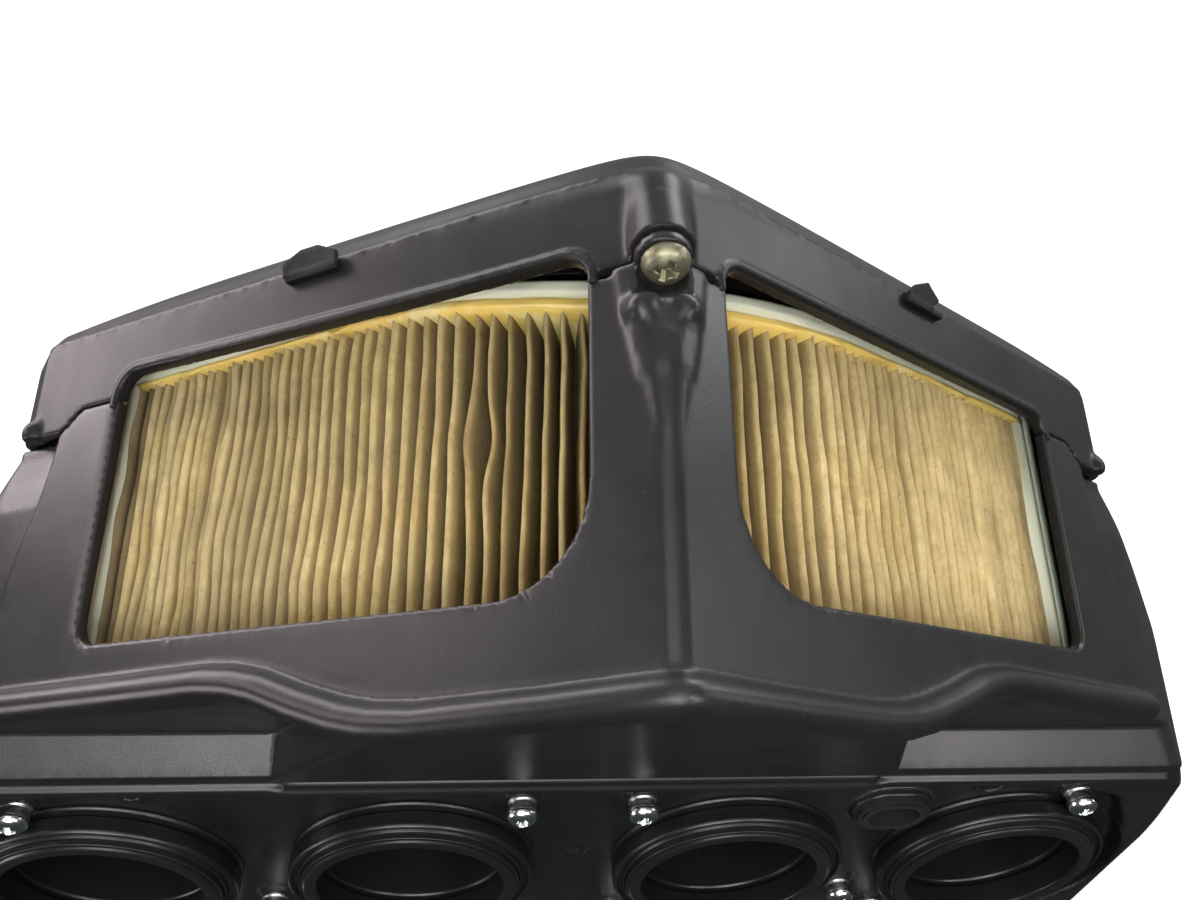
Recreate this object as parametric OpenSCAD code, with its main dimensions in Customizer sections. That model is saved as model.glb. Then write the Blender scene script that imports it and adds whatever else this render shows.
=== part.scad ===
// Motorcycle airbox with a pleated air filter element inside.
// A split moulded case: the lower case carries the V front wall with two
// windows and the four outlets, the upper case closes it. The filter element
// stands behind the windows. Units mm, +Z up, -Y forwards, +X to the right
// when the V front is looked at. Origin: midpoint of the four outlet bores,
// in the plane of their lower ring faces.

/* [Case] */
// distance from the origin to the front ridge
ridge_y = 155.2; // [152:0.1:158]
// angle of each front wall from the X axis
wall_angle = 32.75; // [32:0.05:33.5]
// half width of the V front wall
wall_half = 126.5; // [126:0.5:128]
// wall thickness of the mouldings
wall_t = 2.5; // [2:0.1:3]
// height of the split between the two case halves
split_z = 102; // [101:0.1:103]
// height of the front top edge before its bevel
edge_z = 121; // [120:0.1:122]
// rear wall distance
rear_y = 75; // [74:0.5:78]

/* [Windows] */
// inner edge of a window, measured along the wall
window_inner = 13.7; // [13.2:0.1:15]
// outer edge of a window, measured along the wall
window_outer = 122.0; // [118:0.1:123]
// bottom edge of a window
window_bottom = 51; // [50:0.1:54]
// top edge of a window
window_top = 105.3; // [104.5:0.1:106]
// radius of the large inner bottom corner
window_r_big = 17; // [12:0.5:20]
// radius of the other corners
window_r_small = 4.5; // [3:0.5:6]

/* [Outlets] */
// tilt of the outlet plate
plate_tilt = 28; // [27:0.1:29]
// distance of the inner outlets from the middle
outlet_x_inner = 43.76; // [43:0.01:45]
// distance of the outer outlets from the middle
outlet_x_outer = 121.76; // [121:0.01:122.5]
// inner radius of an outlet
outlet_bore_r = 24.6; // [23:0.1:25.2]
// outer radius of the outlet tube
outlet_tube_r = 28.9; // [28:0.1:29]
// outer radius of the rubber ring
ring_r = 32.5; // [31:0.1:32.6]

/* [Filter] */
// radius of the curved middle of the element
filter_r = 88; // [86:0.5:89]
// forward distance of the curve centre
filter_centre_y = 40.6; // [39:0.1:41]
// length of each straight leg
leg_length = 70; // [69:0.5:72]
// depth of the element
filter_depth = 24; // [20:0.5:25]
// bottom of the element
filter_bottom = 44; // [43.5:0.1:45]
// top of the element
filter_top = 113; // [111:0.1:113.5]
// number of pleats on each straight leg
leg_pleats = 22; // [12:1:24]
// number of pleats on the curved middle
arc_pleats = 33; // [16:1:34]

/* [Front screw] */
// tilt of the front screw from the vertical
screw_tilt = 18; // [17:0.1:19]
// radius of the screw head
screw_head_r = 4; // [3.6:0.1:4.3]
// radius of the screw shank
screw_r = 2; // [1.8:0.05:2.05]

/* [Hidden] */
$fn = 64;
lower_top = split_z - 0.2;
outlet_xs = [-outlet_x_outer, -outlet_x_inner, outlet_x_inner, outlet_x_outer];

// screws and inserts
front_screw_at = [0, -153.6, 102.1];
cover_screws_at = [[118.5, -42, 102], [118.5, 42, 102], [62, 63.5, 102]];
plate_screws_at = [[15.4, -34], [15.4, 34], [134.8, -35], [98, 36], [82.8, 20]];
head_h = 3;
insert_r = 3;
insert_bore_r = 2.08;
cover_head_z = 8;     // seat of a cover screw head, along its axis

brass = [0.8, 0.65, 0.3];
steel = [0.7, 0.7, 0.72];
rubber = [0.03, 0.03, 0.03];

// ---- outline functions
function cross_2d(a, b) = a[0] * b[1] - a[1] * b[0];
// where the line through p along d meets the line through q along e
function meet(p, d, q, e) = p + d * (cross_2d(q - p, e) / cross_2d(d, e));
function unit(a) = a / norm(a);
function left_of(a) = [-a[1], a[0]];
// anticlockwise outline moved inwards by t
function inset(points, t) = [for (i = [0:len(points) - 1]) let (
    n = len(points),
    here = points[i],
    before = unit(here - points[(i + n - 1) % n]),
    after = unit(points[(i + 1) % n] - here))
  meet(here + left_of(before) * t, before, here + left_of(after) * t, after)];
// points mirrored in X and taken in reverse order
function mirrored(points) = [for (i = [len(points) - 1:-1:0]) [-points[i][0], points[i][1]]];
function reversed(points) = [for (i = [len(points) - 1:-1:0]) points[i]];
// whole outline from its right half; a point on the middle line is used once
function symmetric(right) = concat(right, mirrored([for (p = right) if (p[0] != 0) p]));
// Y of the front wall at a given X
function wall_y(x) = -ridge_y + x * tan(wall_angle);
// distance along the front wall at a given X
function along_wall(x) = x / cos(wall_angle);

// ---- case outlines
// plan views, right half: [x, y]
plan_low = symmetric([[0, -ridge_y], [wall_half, wall_y(wall_half)],
  [147, -55], [156, -42], [162, -15], [162, 30], [150, 58], [125, rear_y]]);
plan_top = symmetric([[0, -ridge_y], [wall_half, wall_y(wall_half)],
  [130, -69.3], [130, 66], [121, rear_y]]);
// side views: [y, z]
side_low = [[-170, 41.2], [-61, 36.3], [-61, 26.5], [-49, 26.2], [-45, 23.9],
  [40.6, -21.6], [62, -10], [rear_y, 30], [rear_y, lower_top], [-170, lower_top]];
side_low_in = [[-170, 43.7], [-58.5, 38.7], [-58.5, 29.2], [-47, 29.2],
  [-37.7, 31.4], [42.7, -11.4], [59.6, -7], [rear_y - 2.5, 30.5],
  [rear_y - 2.5, 140], [-170, 140]];
side_up = [[-170, split_z], [rear_y, split_z], [rear_y - 1, 112],
  [rear_y - 15, 124], [20, 131], [-60, 131], [-154, 124.2], [-170, 124.2]];
// front views, right half: [x, z]
cross_low = symmetric([[162, -60], [162, 35], [142.5, 77], [130, 96], [130, 160]]);
cross_up = symmetric([[130, split_z], [129, 117], [121, 124.5], [60, 131]]);
// wedge below the prow: plan [x, y] and side views [y, z]
belly_plan = symmetric([[0, -ridge_y], [43, wall_y(43)], [70.5, -61], [70.5, -45]]);
belly_side = [[-157, 33.5], [-61, 26.5], [-45, 23.9], [-45, 46], [-157, 46]];
belly_side_in = [[-157, 36], [-61, 29.1], [-46.6, 29.1], [-46.6, 50], [-157, 50]];

// ---- placing and extruding
module prism_z(points, z0, z1)
  translate([0, 0, z0]) linear_extrude(z1 - z0) polygon(points);
// side view [y, z] drawn out to both sides
module prism_x(points, half)
  rotate([90, 0, 90]) translate([0, 0, -half]) linear_extrude(2 * half) polygon(points);
// front view [x, z] drawn out over the length of the case
module prism_y(points)
  rotate([90, 0, 0]) translate([0, 0, -120]) linear_extrude(320) polygon(points);
module both() {
  children();
  mirror([1, 0, 0]) children();
}
// frame of the right front wall: x along it, y inwards
module on_wall() translate([0, -ridge_y, 0]) rotate([0, 0, wall_angle]) children();
// wall elevation [along, z] extruded forwards from depth y
module wall_slab(y, thickness)
  on_wall() translate([0, y, 0]) rotate([90, 0, 0]) linear_extrude(thickness) children();
module on_plate() rotate([-plate_tilt, 0, 0]) children();
// frame of a tilted case screw, z along its axis
module on_axis(p) translate(p) rotate([-screw_tilt, 0, 0]) children();
module rod(r, z0, z1) translate([0, 0, z0]) cylinder(r = r, h = z1 - z0);
module tube(outer_r, inner_r, z0, z1) difference() {
  rod(outer_r, z0, z1);
  rod(inner_r, z0 - 1, z1 + 1);
}
module oval(r, half_span) {
  for (s = [-1, 1]) translate([s * half_span, 0]) circle(r = r);
  translate([-half_span, -r]) square([2 * half_span, 2 * r]);
}

// ---- windows
// waste outside a rounded corner; sx, sy point into the window
module corner(x, y, sx, sy, r) translate([x, y]) scale([sx, sy]) difference() {
  translate([-1, -1]) square([r + 1, r + 1]);
  translate([r, r]) circle(r = r);
}
module window_2d() difference() {
  translate([window_inner, window_bottom])
    square([window_outer - window_inner, window_top - window_bottom]);
  corner(window_inner, window_bottom, 1, 1, window_r_big);
  corner(window_inner, window_top, 1, -1, window_r_small);
  corner(window_outer, window_top, -1, -1, window_r_small);
  corner(window_outer, window_bottom, -1, 1, window_r_small + 0.5);
}
module windows() both() wall_slab(8, 24) window_2d();

// ---- filter outline
// outline of the element between two depths behind its front curve
module band(depth0, depth1, leg) translate([0, -filter_centre_y]) {
  intersection() {
    difference() {
      circle(r = filter_r - depth0, $fn = 180);
      circle(r = filter_r - depth1, $fn = 180);
    }
    polygon([[0, 0], [-200 * tan(wall_angle), -200], [200 * tan(wall_angle), -200]]);
  }
  for (m = [0, 1]) mirror([m, 0]) rotate(wall_angle)
    translate([0, -filter_r + depth0]) square([leg, depth1 - depth0]);
}
module band_slab(z, height, depth0, depth1, leg = leg_length)
  translate([0, 0, z]) linear_extrude(height) band(depth0, depth1, leg);
// frame of the right leg of the element: x along it, y inwards
module on_leg() translate([0, -filter_centre_y, 0]) rotate([0, 0, wall_angle])
  translate([0, -filter_r, 0]) children();

// ---- flange and seal groove at the split
flange_w = 8;
flange_front = -64;   // the flange lies behind this Y
module flange(z0, z1) difference() {
  prism_z(plan_top, z0, z1);
  prism_z(inset(plan_top, flange_w), 90, 120);
  translate([-200, flange_front - 200, 90]) cube([400, 200, 30]);
}
// strip between two insets of the plan, open to the front
module seal_strip(outer_inset, inner_inset, top, front) intersection() {
  difference() {
    prism_z(inset(plan_top, outer_inset), split_z - 2.4, top);
    prism_z(inset(plan_top, inner_inset), 90, 112);
  }
  translate([-200, front, 90]) cube([400, 200, 20]);
}

// ---- outlet plate
outlet_hole_r = 29;
recess_roof = 5.6;    // height of the recess below the plate
recess_front = -48.6;
boss_top = 9;
boss_r = 4.6;
screw_foot = 2;       // lower end of the screw collars
ring_boss_at = [0, -3];
ring_boss_r = 3.4;
ring_boss_bore_r = 2.4;
port_at = [85, -26.5];
port_r = 6.5;
port_half_span = 2;
// front bosses: [[x, y], radius, foot, bore radius]
front_bosses = [[[108, -41], 5, 3.5, 3.2], [[-108, -41], 4, 4.5, 1.8]];

module recess_2d() {
  translate([-124, recess_front]) square([248, 91.6]);
  for (s = [-1, 1]) {
    translate([s * outlet_x_outer, 0]) circle(r = 37.2);
    polygon([[s * 120, recess_front], [s * 126, recess_front], [s * 141, -42],
      [s * 152, -24], [s * 120, 0]]);
  }
}
module plate_bosses() on_plate() {
  for (b = front_bosses) translate(b[0]) rod(b[1], b[2], boss_top);
  translate(ring_boss_at) tube(ring_boss_r, ring_boss_bore_r, 6.3, 8);
  both() for (p = plate_screws_at) translate(p) rod(boss_r, recess_roof, boss_top);
}
module plate_cuts() on_plate() {
  // recess, open downwards
  translate([0, 0, -30]) linear_extrude(30 + recess_roof) recess_2d();
  // upper layer of the recess, around the bosses
  translate([0, 0, 5]) linear_extrude(2) difference() {
    recess_2d();
    for (s = [-1, 1], p = plate_screws_at) translate([s * p[0], p[1]]) circle(r = boss_r);
    for (b = front_bosses) translate(b[0]) circle(r = b[1]);
    translate(ring_boss_at) difference() {
      circle(r = ring_boss_r);
      circle(r = ring_boss_bore_r);
    }
  }
  for (x = outlet_xs) translate([x, 0, 0]) rod(outlet_hole_r, -5, 30);
  both() for (p = plate_screws_at) translate(p) rod(2.4, -5, 30);
  translate([port_at[0], port_at[1], -5]) linear_extrude(40) oval(port_r, port_half_span);
  for (b = front_bosses) translate(b[0]) rod(b[3], -5, 7.5);
}

// ---- lower case
screw_seat = 2.2;     // top of the front screw seat, along the screw axis
end_wall_gap = 2.2;   // from the end of a leg to the wall beyond it
end_wall_t = 2.2;
rib_t = 2;
lug_y = rear_y + 12.5;
lug_r = 13;
lug_z = 60;
lug_t = 8;
lug_bore_r = 8;

// step at the outer edge of the front wall, where the side wing falls back
module wing(gap) both() wall_slab(1.8 + gap, 12)
  polygon([[140.3 - gap, 104], [141.7 - gap, 90], [146.3 - gap, 74],
    [149.5 - gap, 58], [151.2 - gap, 43 - gap], [180, 43 - gap], [180, 104]]);
module lower_solid(plan, side, cross, gap, wedge_plan, wedge_side) {
  difference() {
    intersection() {
      prism_z(plan, -60, 140);
      prism_x(side, 200);
      prism_y(cross);
    }
    wing(gap);
  }
  intersection() {
    prism_z(wedge_plan, 10, 60);
    prism_x(wedge_side, 80);
  }
}
module lower_outer()
  lower_solid(plan_low, side_low, cross_low, 0, belly_plan, belly_side);
module lower_inner()
  lower_solid(inset(plan_low, wall_t), side_low_in, inset(cross_low, wall_t),
    wall_t, inset(belly_plan, wall_t), belly_side_in);

// bead along the foot of the front wall: [along, z]
bead_end = along_wall(wall_half) - 0.3;
module foot_bead() both() wall_slab(1, 3)
  polygon([[0, 32.6], [along_wall(44), 32.6], [along_wall(71), 40.8], [bead_end, 41.2],
    [bead_end, 46.7], [along_wall(71), 45.6], [along_wall(44), 37.8], [0, 38.8]]);

module cover_columns() both() for (p = cover_screws_at) intersection() {
  on_axis(p) rod(5, -30, 4);
  translate([0, -200, 60]) cube([200, 400, lower_top - 60]);
}
// ribs under the element and walls beyond its ends
module filter_seat() intersection() {
  lower_outer();
  union() {
    for (depth = [4, filter_depth - 6])
      band_slab(20, filter_bottom - 20, depth, depth + rib_t);
    both() on_leg() translate([leg_length + end_wall_gap, -12, 30])
      cube([end_wall_t, filter_depth + 14, 70]);
  }
}
// frame of the groove that runs down from the front screw
module on_groove() translate([0, -157.5, 94]) rotate([14, 0, 0]) children();
// pocket around the head of the front screw, its seat, and the groove wall
module front_screw_pocket() {
  intersection() {
    on_axis(front_screw_at) rod(7.4, -16, screw_seat);
    translate([-20, -170, 80]) cube([40, 40, 40]);
    union() {
      prism_z(plan_low, 60, lower_top);
      on_axis(front_screw_at) rod(5, -0.01, screw_seat);
    }
  }
  intersection() {
    on_groove() rod(9.5, -26, 2);
    prism_z(plan_low, 60, 100);
  }
}
module rear_lug() {
  translate([-lug_r, rear_y - 1.5, lug_z]) cube([2 * lug_r, 14, lug_t]);
  translate([0, lug_y, lug_z]) cylinder(r = lug_r, h = lug_t);
}

module lower_case() color([0.06, 0.06, 0.065]) difference() {
  union() {
    difference() {
      lower_outer();
      lower_inner();
    }
    intersection() {
      flange(96, lower_top);
      lower_outer();
    }
    cover_columns();
    foot_bead();
    filter_seat();
    front_screw_pocket();
    plate_bosses();
    rear_lug();
  }
  windows();
  plate_cuts();
  seal_strip(3.4, 5.8, 110, -68);
  both() for (p = cover_screws_at) on_axis(p) rod(insert_r, -22, 20);
  on_axis(front_screw_at) rod(4.9, -8.2, 0);
  on_axis(front_screw_at) rod(2.2, -1, 6);
  on_groove() rod(5.8, -28, 0);
  translate([0, lug_y, 50]) cylinder(r = lug_bore_r, h = 30);
}

// ---- upper case
gasket_t = 1.6;
boss_foot = 2.3;      // foot of the front boss, along the screw axis

module upper_solid(plan, side, cross) intersection() {
  prism_z(plan, 90, 140);
  prism_x(side, 200);
  prism_y(cross);
}
module upper_outer() upper_solid(plan_top, side_up, cross_up);
// outline with its points at the split moved down, so the cavity opens below
function opened(points) = [for (p = points) [p[0], p[1] == split_z ? 80 : p[1]]];
module upper_inner() upper_solid(inset(plan_top, wall_t),
  inset(opened(side_up), wall_t), inset(opened(cross_up), wall_t));
// waste above the bevel of the front top edge, lowered by t
module edge_cut(t) both() on_wall() translate([0, 0, edge_z]) rotate([45, 0, 0])
  translate([-30, -40, -t]) cube([260, 90, 60]);
// ribs above and behind the element, and walls beyond its ends
module filter_ribs() {
  for (depth = [6, filter_depth - 8])
    band_slab(filter_top + gasket_t + 0.1, 30, depth, depth + rib_t);
  band_slab(filter_top - 4, 30, filter_depth + 1.5, filter_depth + 1.5 + rib_t);
  both() on_leg() translate([leg_length + end_wall_gap, 3, 80])
    cube([end_wall_t, filter_depth - 1, 60]);
}

module upper_case() color([0.07, 0.07, 0.075]) difference() {
  union() {
    difference() {
      upper_outer();
      difference() {
        upper_inner();
        edge_cut(wall_t);
      }
      edge_cut(0);
    }
    difference() {
      intersection() {
        upper_outer();
        union() {
          flange(split_z, 106);
          both() for (p = cover_screws_at) on_axis(p) rod(7, -4, 40);
          filter_ribs();
          // cross ribs under the roof
          for (y = [-40, 0, 40]) translate([-100, y, 126]) cube([200, 2, 10]);
        }
      }
      edge_cut(0);
    }
    // half round boss above the front screw
    intersection() {
      on_axis(front_screw_at) rod(5.5, boss_foot, 22);
      translate([-20, -170, split_z]) cube([40, 60, edge_z + 2 - split_z]);
    }
  }
  windows();
  // room for the seat of the front screw, and the insert hole
  on_axis(front_screw_at) rod(5.2, -8, boss_foot);
  on_axis(front_screw_at) rod(insert_r, 2, 15);
  both() for (p = cover_screws_at) on_axis(p) {
    rod(2.4, -10, 30);
    rod(4.8, cover_head_z, 60);
  }
}

module cover_seal() color([0.05, 0.05, 0.05]) seal_strip(3.5, 5.7, split_z, -67.9);

// ---- tabs on the front wall
tab_x = 74;
tab_half = 6.5;
tab_t = 1.6;
tab_z = 117.8;        // top of the tab foot
module tab() {
  on_wall() translate([tab_x - tab_half, -tab_t, tab_z - tab_t])
    cube([2 * tab_half, tab_t, tab_t]);
  wall_slab(0, tab_t) translate([tab_x, 0])
    polygon([[-tab_half, tab_z], [tab_half, tab_z], [5.4, 122.4], [2.5, 124],
      [-4.6, 123.4], [-6.2, 121]]);
}
module duct_tab_right() color(rubber) tab();
module duct_tab_left() color(rubber) mirror([1, 0, 0]) tab();

// ---- case screws
// cross recess screw, underside of the head at z = 0, shank upwards
module pan_screw(head_r, shank_r, length, recess_r) difference() {
  union() {
    rotate_extrude() polygon([[0, 0], [head_r, 0], [head_r, -head_h * 0.55],
      [head_r * 0.8, -head_h * 0.9], [head_r * 0.45, -head_h], [0, -head_h]]);
    rod(shank_r, -0.2, length);
  }
  for (a = [0, 90]) rotate([0, 0, a])
    translate([-recess_r, -0.55, -head_h - 1]) cube([2 * recess_r, 1.1, 2.6]);
}
module front_screw() color([0.42, 0.38, 0.22]) on_axis(front_screw_at)
  pan_screw(head_r = screw_head_r, shank_r = screw_r, length = 13.5, recess_r = 2.3);
module front_insert() color(brass) on_axis(front_screw_at)
  tube(insert_r, insert_bore_r, 2.6, 14.6);
module cover_screws() color(steel) both() for (p = cover_screws_at)
  on_axis(p) translate([0, 0, cover_head_z]) mirror([0, 0, 1])
    pan_screw(head_r = 4.2, shank_r = 2, length = 26, recess_r = 2.4);
module cover_inserts() color(brass) both() for (p = cover_screws_at)
  on_axis(p) tube(insert_r, insert_bore_r, -21, -2.5);

// ---- filter element
frame_t = 3;
potting_t = 2.6;
post_t = 1.8;
media_t = 2.6;
fold_front = 0.8;     // depth of the front folds
fold_back = 17.5;     // depth of the back folds, on the front face of the media
mesh_depth = 20.6;
pleat_z = filter_bottom + frame_t + potting_t;
pleat_h = filter_top - filter_bottom - 2 * (frame_t + potting_t);
post_z = filter_bottom + 1;
post_h = filter_top - filter_bottom - 2;

module filter_frame() color([0.85, 0.84, 0.72]) {
  for (z = [filter_bottom, filter_top - frame_t]) band_slab(z, frame_t, 0, filter_depth);
  // posts at the ends of the legs
  both() on_leg() translate([leg_length - post_t, 0, post_z])
    cube([post_t, filter_depth, post_h]);
}
module filter_potting() color([0.86, 0.66, 0.2])
  for (z = [filter_bottom + frame_t, filter_top - frame_t - potting_t])
    band_slab(z, potting_t, 0.4, filter_depth - 1, leg_length - post_t);

function arc_point(angle, depth) =
  [(filter_r - depth) * sin(angle), -filter_centre_y - (filter_r - depth) * cos(angle)];
function leg_point(along, depth) =
  arc_point(wall_angle, depth) + along * [cos(wall_angle), sin(wall_angle)];
// zigzag of the pleats, with front folds at depth + fold_front and so on
function zigzag(depth) = let (
    folds = [depth + fold_front, depth + fold_back],
    right = [for (i = [1:2 * leg_pleats])
      leg_point((leg_length - 3) * i / (2 * leg_pleats), folds[i % 2])],
    middle = [for (i = [-arc_pleats:arc_pleats])
      arc_point(wall_angle * i / arc_pleats, folds[(i + arc_pleats) % 2])])
  concat(mirrored(right), middle, right);
module filter_media() color([0.74, 0.62, 0.36]) translate([0, 0, pleat_z])
  linear_extrude(pleat_h) polygon(concat(zigzag(0), reversed(zigzag(media_t))));

module filter_mesh() color([0.6, 0.6, 0.6]) {
  for (k = [0:3])
    band_slab(pleat_z + 4 + k * 15.8, 1.2, mesh_depth, mesh_depth + 0.8, leg_length - 2);
  // upright bars on the legs, then on the curve
  both() for (k = [0:8]) on_leg() translate([1 + k * 8.1, mesh_depth, pleat_z])
    cube([1, 1.6, pleat_h]);
  for (k = [-3:3]) translate([0, -filter_centre_y, 0]) rotate([0, 0, k * 9])
    translate([-0.5, -filter_r + mesh_depth, pleat_z]) cube([1, 1.6, pleat_h]);
}
module end_strip() on_leg() translate([leg_length, 0.3, post_z])
  cube([1.5, filter_depth - 1, post_h]);
module end_strip_right() color([0.8, 0.84, 0.74]) end_strip();
module end_strip_left() color([0.82, 0.76, 0.62]) mirror([1, 0, 0]) end_strip();
module filter_gasket() color([0.1, 0.1, 0.1])
  band_slab(filter_top, gasket_t, 3, filter_depth - 3);

// ---- outlets
base_z = 10.1;
base_t = 3;
base_top = base_z + base_t;
// straight parts of the right funnel base: [x, y, width, depth]
base_bars = [[outlet_x_inner, -12, outlet_x_outer - outlet_x_inner, 38],
  [14, 26, 120, 9], [10, -38, 10, 76], [12, -39, 34, 12], [120, -37, 16, 10]];

module base_2d() difference() {
  union() {
    for (x = [outlet_x_inner, outlet_x_outer]) translate([x, 0]) circle(r = 33.5);
    for (p = plate_screws_at) translate(p) circle(r = 6);
    for (b = base_bars) translate([b[0], b[1]]) square([b[2], b[3]]);
  }
  for (x = [outlet_x_inner, outlet_x_outer]) translate([x, 0]) circle(r = outlet_hole_r);
}
module base() on_plate() difference() {
  union() {
    translate([0, 0, base_z]) linear_extrude(base_t) base_2d();
    for (p = plate_screws_at) translate(p) rod(5, 12, 20);
  }
  for (x = [outlet_x_inner, outlet_x_outer]) translate([x, 0, 0]) rod(outlet_hole_r, 0, 40);
  for (p = plate_screws_at) translate(p) rod(2.2, 5, 19);
}
module funnel_base_right() color([0.09, 0.09, 0.1]) base();
module funnel_base_left() color([0.09, 0.09, 0.1]) mirror([1, 0, 0]) base();

// outlet tube and flared funnel, profile: [radius, z]
module funnel(x) color([0.11, 0.11, 0.12])
  on_plate() translate([x, 0, 0]) rotate_extrude($fn = 96)
    polygon([[outlet_bore_r, -2], [outlet_tube_r - 1, -2], [outlet_tube_r, -1],
      [outlet_tube_r, base_top], [31.5, base_top], [31.5, 15.1], [27.6, 15.6],
      [27.6, 30], [29.6, 37.6], [34, 42.2], [34, 45.4], [32, 45.4], [27.4, 40.4],
      [25.4, 32], [outlet_bore_r, 24]]);
module funnel_1() funnel(outlet_xs[0]);
module funnel_2() funnel(outlet_xs[1]);
module funnel_3() funnel(outlet_xs[2]);
module funnel_4() funnel(outlet_xs[3]);

// ring with a groove in its lower face, profile: [radius, z]
module ring(x) color(rubber) on_plate() translate([x, 0, 0]) rotate_extrude($fn = 96)
  polygon([[outlet_tube_r, 0], [30.2, 0], [30.2, 1], [31.2, 1], [31.2, 0],
    [ring_r - 0.4, 0], [ring_r, 0.6], [ring_r, 7], [outlet_tube_r, 7]]);
module outlet_ring_1() ring(outlet_xs[0]);
module outlet_ring_2() ring(outlet_xs[1]);
module outlet_ring_3() ring(outlet_xs[2]);
module outlet_ring_4() ring(outlet_xs[3]);

module outlet_screws() color([0.8, 0.8, 0.82]) both() on_plate() for (p = plate_screws_at)
  translate([p[0], p[1], screw_foot])
    pan_screw(head_r = 4.2, shank_r = 2.1, length = 16, recess_r = 2.4);
module screw_collars() color([0.7, 0.7, 0.7]) both() on_plate() for (p = plate_screws_at)
  translate(p) tube(3.7, 2.3, screw_foot, recess_roof);
module port_sleeve() color([0.05, 0.05, 0.05]) on_plate() translate(port_at) difference() {
  union() {
    translate([0, 0, 3]) linear_extrude(13) oval(port_r, port_half_span);
    translate([0, 0, 3.5]) linear_extrude(3.5) oval(port_r + 1.3, port_half_span);
  }
  linear_extrude(30) oval(port_r - 1.5, port_half_span);
}

// ---- rear mounting
lug_top = lug_z + lug_t;
sleeve_r = 5;
module rear_grommet() color([0.04, 0.04, 0.04]) translate([0, lug_y, 0]) difference() {
  union() {
    rod(lug_bore_r, lug_z - 1, lug_top + 1);
    rod(10.5, lug_top, lug_top + 2.5);
    rod(10.5, lug_z - 2.5, lug_z);
  }
  rod(sleeve_r, 50, 80);
}
module rear_sleeve() color(steel) translate([0, lug_y, 0])
  tube(sleeve_r, 3.1, lug_z - 3, lug_top + 3);

lower_case();
upper_case();
cover_seal();
duct_tab_left();
duct_tab_right();
front_screw();
front_insert();
cover_screws();
cover_inserts();
filter_frame();
filter_potting();
filter_media();
filter_mesh();
end_strip_left();
end_strip_right();
filter_gasket();
funnel_base_left();
funnel_base_right();
funnel_1();
funnel_2();
funnel_3();
funnel_4();
outlet_ring_1();
outlet_ring_2();
outlet_ring_3();
outlet_ring_4();
outlet_screws();
screw_collars();
port_sleeve();
rear_grommet();
rear_sleeve();
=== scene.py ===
"""Filter case: lower shell with four intake funnels underneath, screwed cover, and a
pleated element seen through two windows in the V-shaped front wall.

Shapes are in millimetres and become metres when a mesh is made. X runs across the case
(mirror plane x = 0), the nose of the front wall points to -Y, and +Z is up.
"""

import math

import bpy
import numpy as np
import openvdb
from mathutils import Matrix, Vector


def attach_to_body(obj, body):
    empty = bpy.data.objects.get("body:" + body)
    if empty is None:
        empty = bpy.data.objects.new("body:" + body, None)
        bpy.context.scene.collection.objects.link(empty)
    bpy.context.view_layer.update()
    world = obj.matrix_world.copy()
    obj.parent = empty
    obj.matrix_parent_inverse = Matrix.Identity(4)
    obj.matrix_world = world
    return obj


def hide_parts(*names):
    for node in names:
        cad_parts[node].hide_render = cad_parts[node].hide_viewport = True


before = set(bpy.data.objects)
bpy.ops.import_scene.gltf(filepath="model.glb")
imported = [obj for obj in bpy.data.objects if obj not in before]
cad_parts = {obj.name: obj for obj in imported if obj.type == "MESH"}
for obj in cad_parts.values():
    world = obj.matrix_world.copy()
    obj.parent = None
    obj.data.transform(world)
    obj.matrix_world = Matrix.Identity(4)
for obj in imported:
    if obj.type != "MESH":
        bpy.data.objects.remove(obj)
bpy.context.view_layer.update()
COARSEN = 1.0     # grid and sweep steps grow by this
F32 = np.float32                    # the fields stay in single precision
INF = math.inf
MM = 0.001

# ------------------------------------------------------------ driving dimensions
SWEEP = math.radians(32.75)         # how far each half of the front wall turns back
WALL_TAN, WALL_COS, WALL_SIN = math.tan(SWEEP), math.cos(SWEEP), math.sin(SWEEP)
PLATE_TILT, SCREW_TILT = 28, 18     # degrees about X
PLATE_SIN, PLATE_COS = math.sin(math.radians(PLATE_TILT)), math.cos(math.radians(PLATE_TILT))
SCREW_SIN, SCREW_COS = math.sin(math.radians(SCREW_TILT)), math.cos(math.radians(SCREW_TILT))
NOSE = 155.2                        # the nose lies at y = -NOSE
WALL_HALF = 126.5                   # half width of the front wall

BEND_RADIUS = 88                    # front curve of the element
BEND_CENTER = 40.6                  # its centre lies at y = -BEND_CENTER
LEG = 70.0                          # straight length after the curve
ARC = BEND_RADIUS * SWEEP
ELEMENT_HALF = ARC + LEG

SPLIT_Z = 102                       # between lower case and cover
FRONT_SCREW = (0.0, -153.9, 101.2)
COVER_SCREWS = [(118.5, -42, SPLIT_Z), (118.5, 42, SPLIT_Z), (62, 63.5, SPLIT_Z)]
PLATE_SCREWS = [(15.4, -34), (15.4, 34), (134.8, -35), (98, 36), (82.8, 20)]   # plate x, y
OUTLET_X = (43.76, 121.76)
LUG_Y = 87.5
SCREW_HEAD = 2.9                    # head height of every screw


def mirrored(half):
    """close an outline given by its +x half"""
    return half + [(-x, y) for x, y in reversed(half) if x]


def wall_y(x):
    return -NOSE + x * WALL_TAN


# outlines from above: x, y
PLAN = mirrored([(0, -NOSE), (WALL_HALF, wall_y(WALL_HALF)), (147, -55), (156, -42),
                 (162, -15), (162, 30), (150, 58), (125, 75)])
RIM_PLAN = mirrored([(0, -NOSE), (WALL_HALF, wall_y(WALL_HALF)), (130, -69.3), (130, 66),
                     (121, 75)])
BELLY_PLAN = mirrored([(0, -NOSE), (43, wall_y(43)), (70.5, -61), (70.5, -45)])
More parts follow.
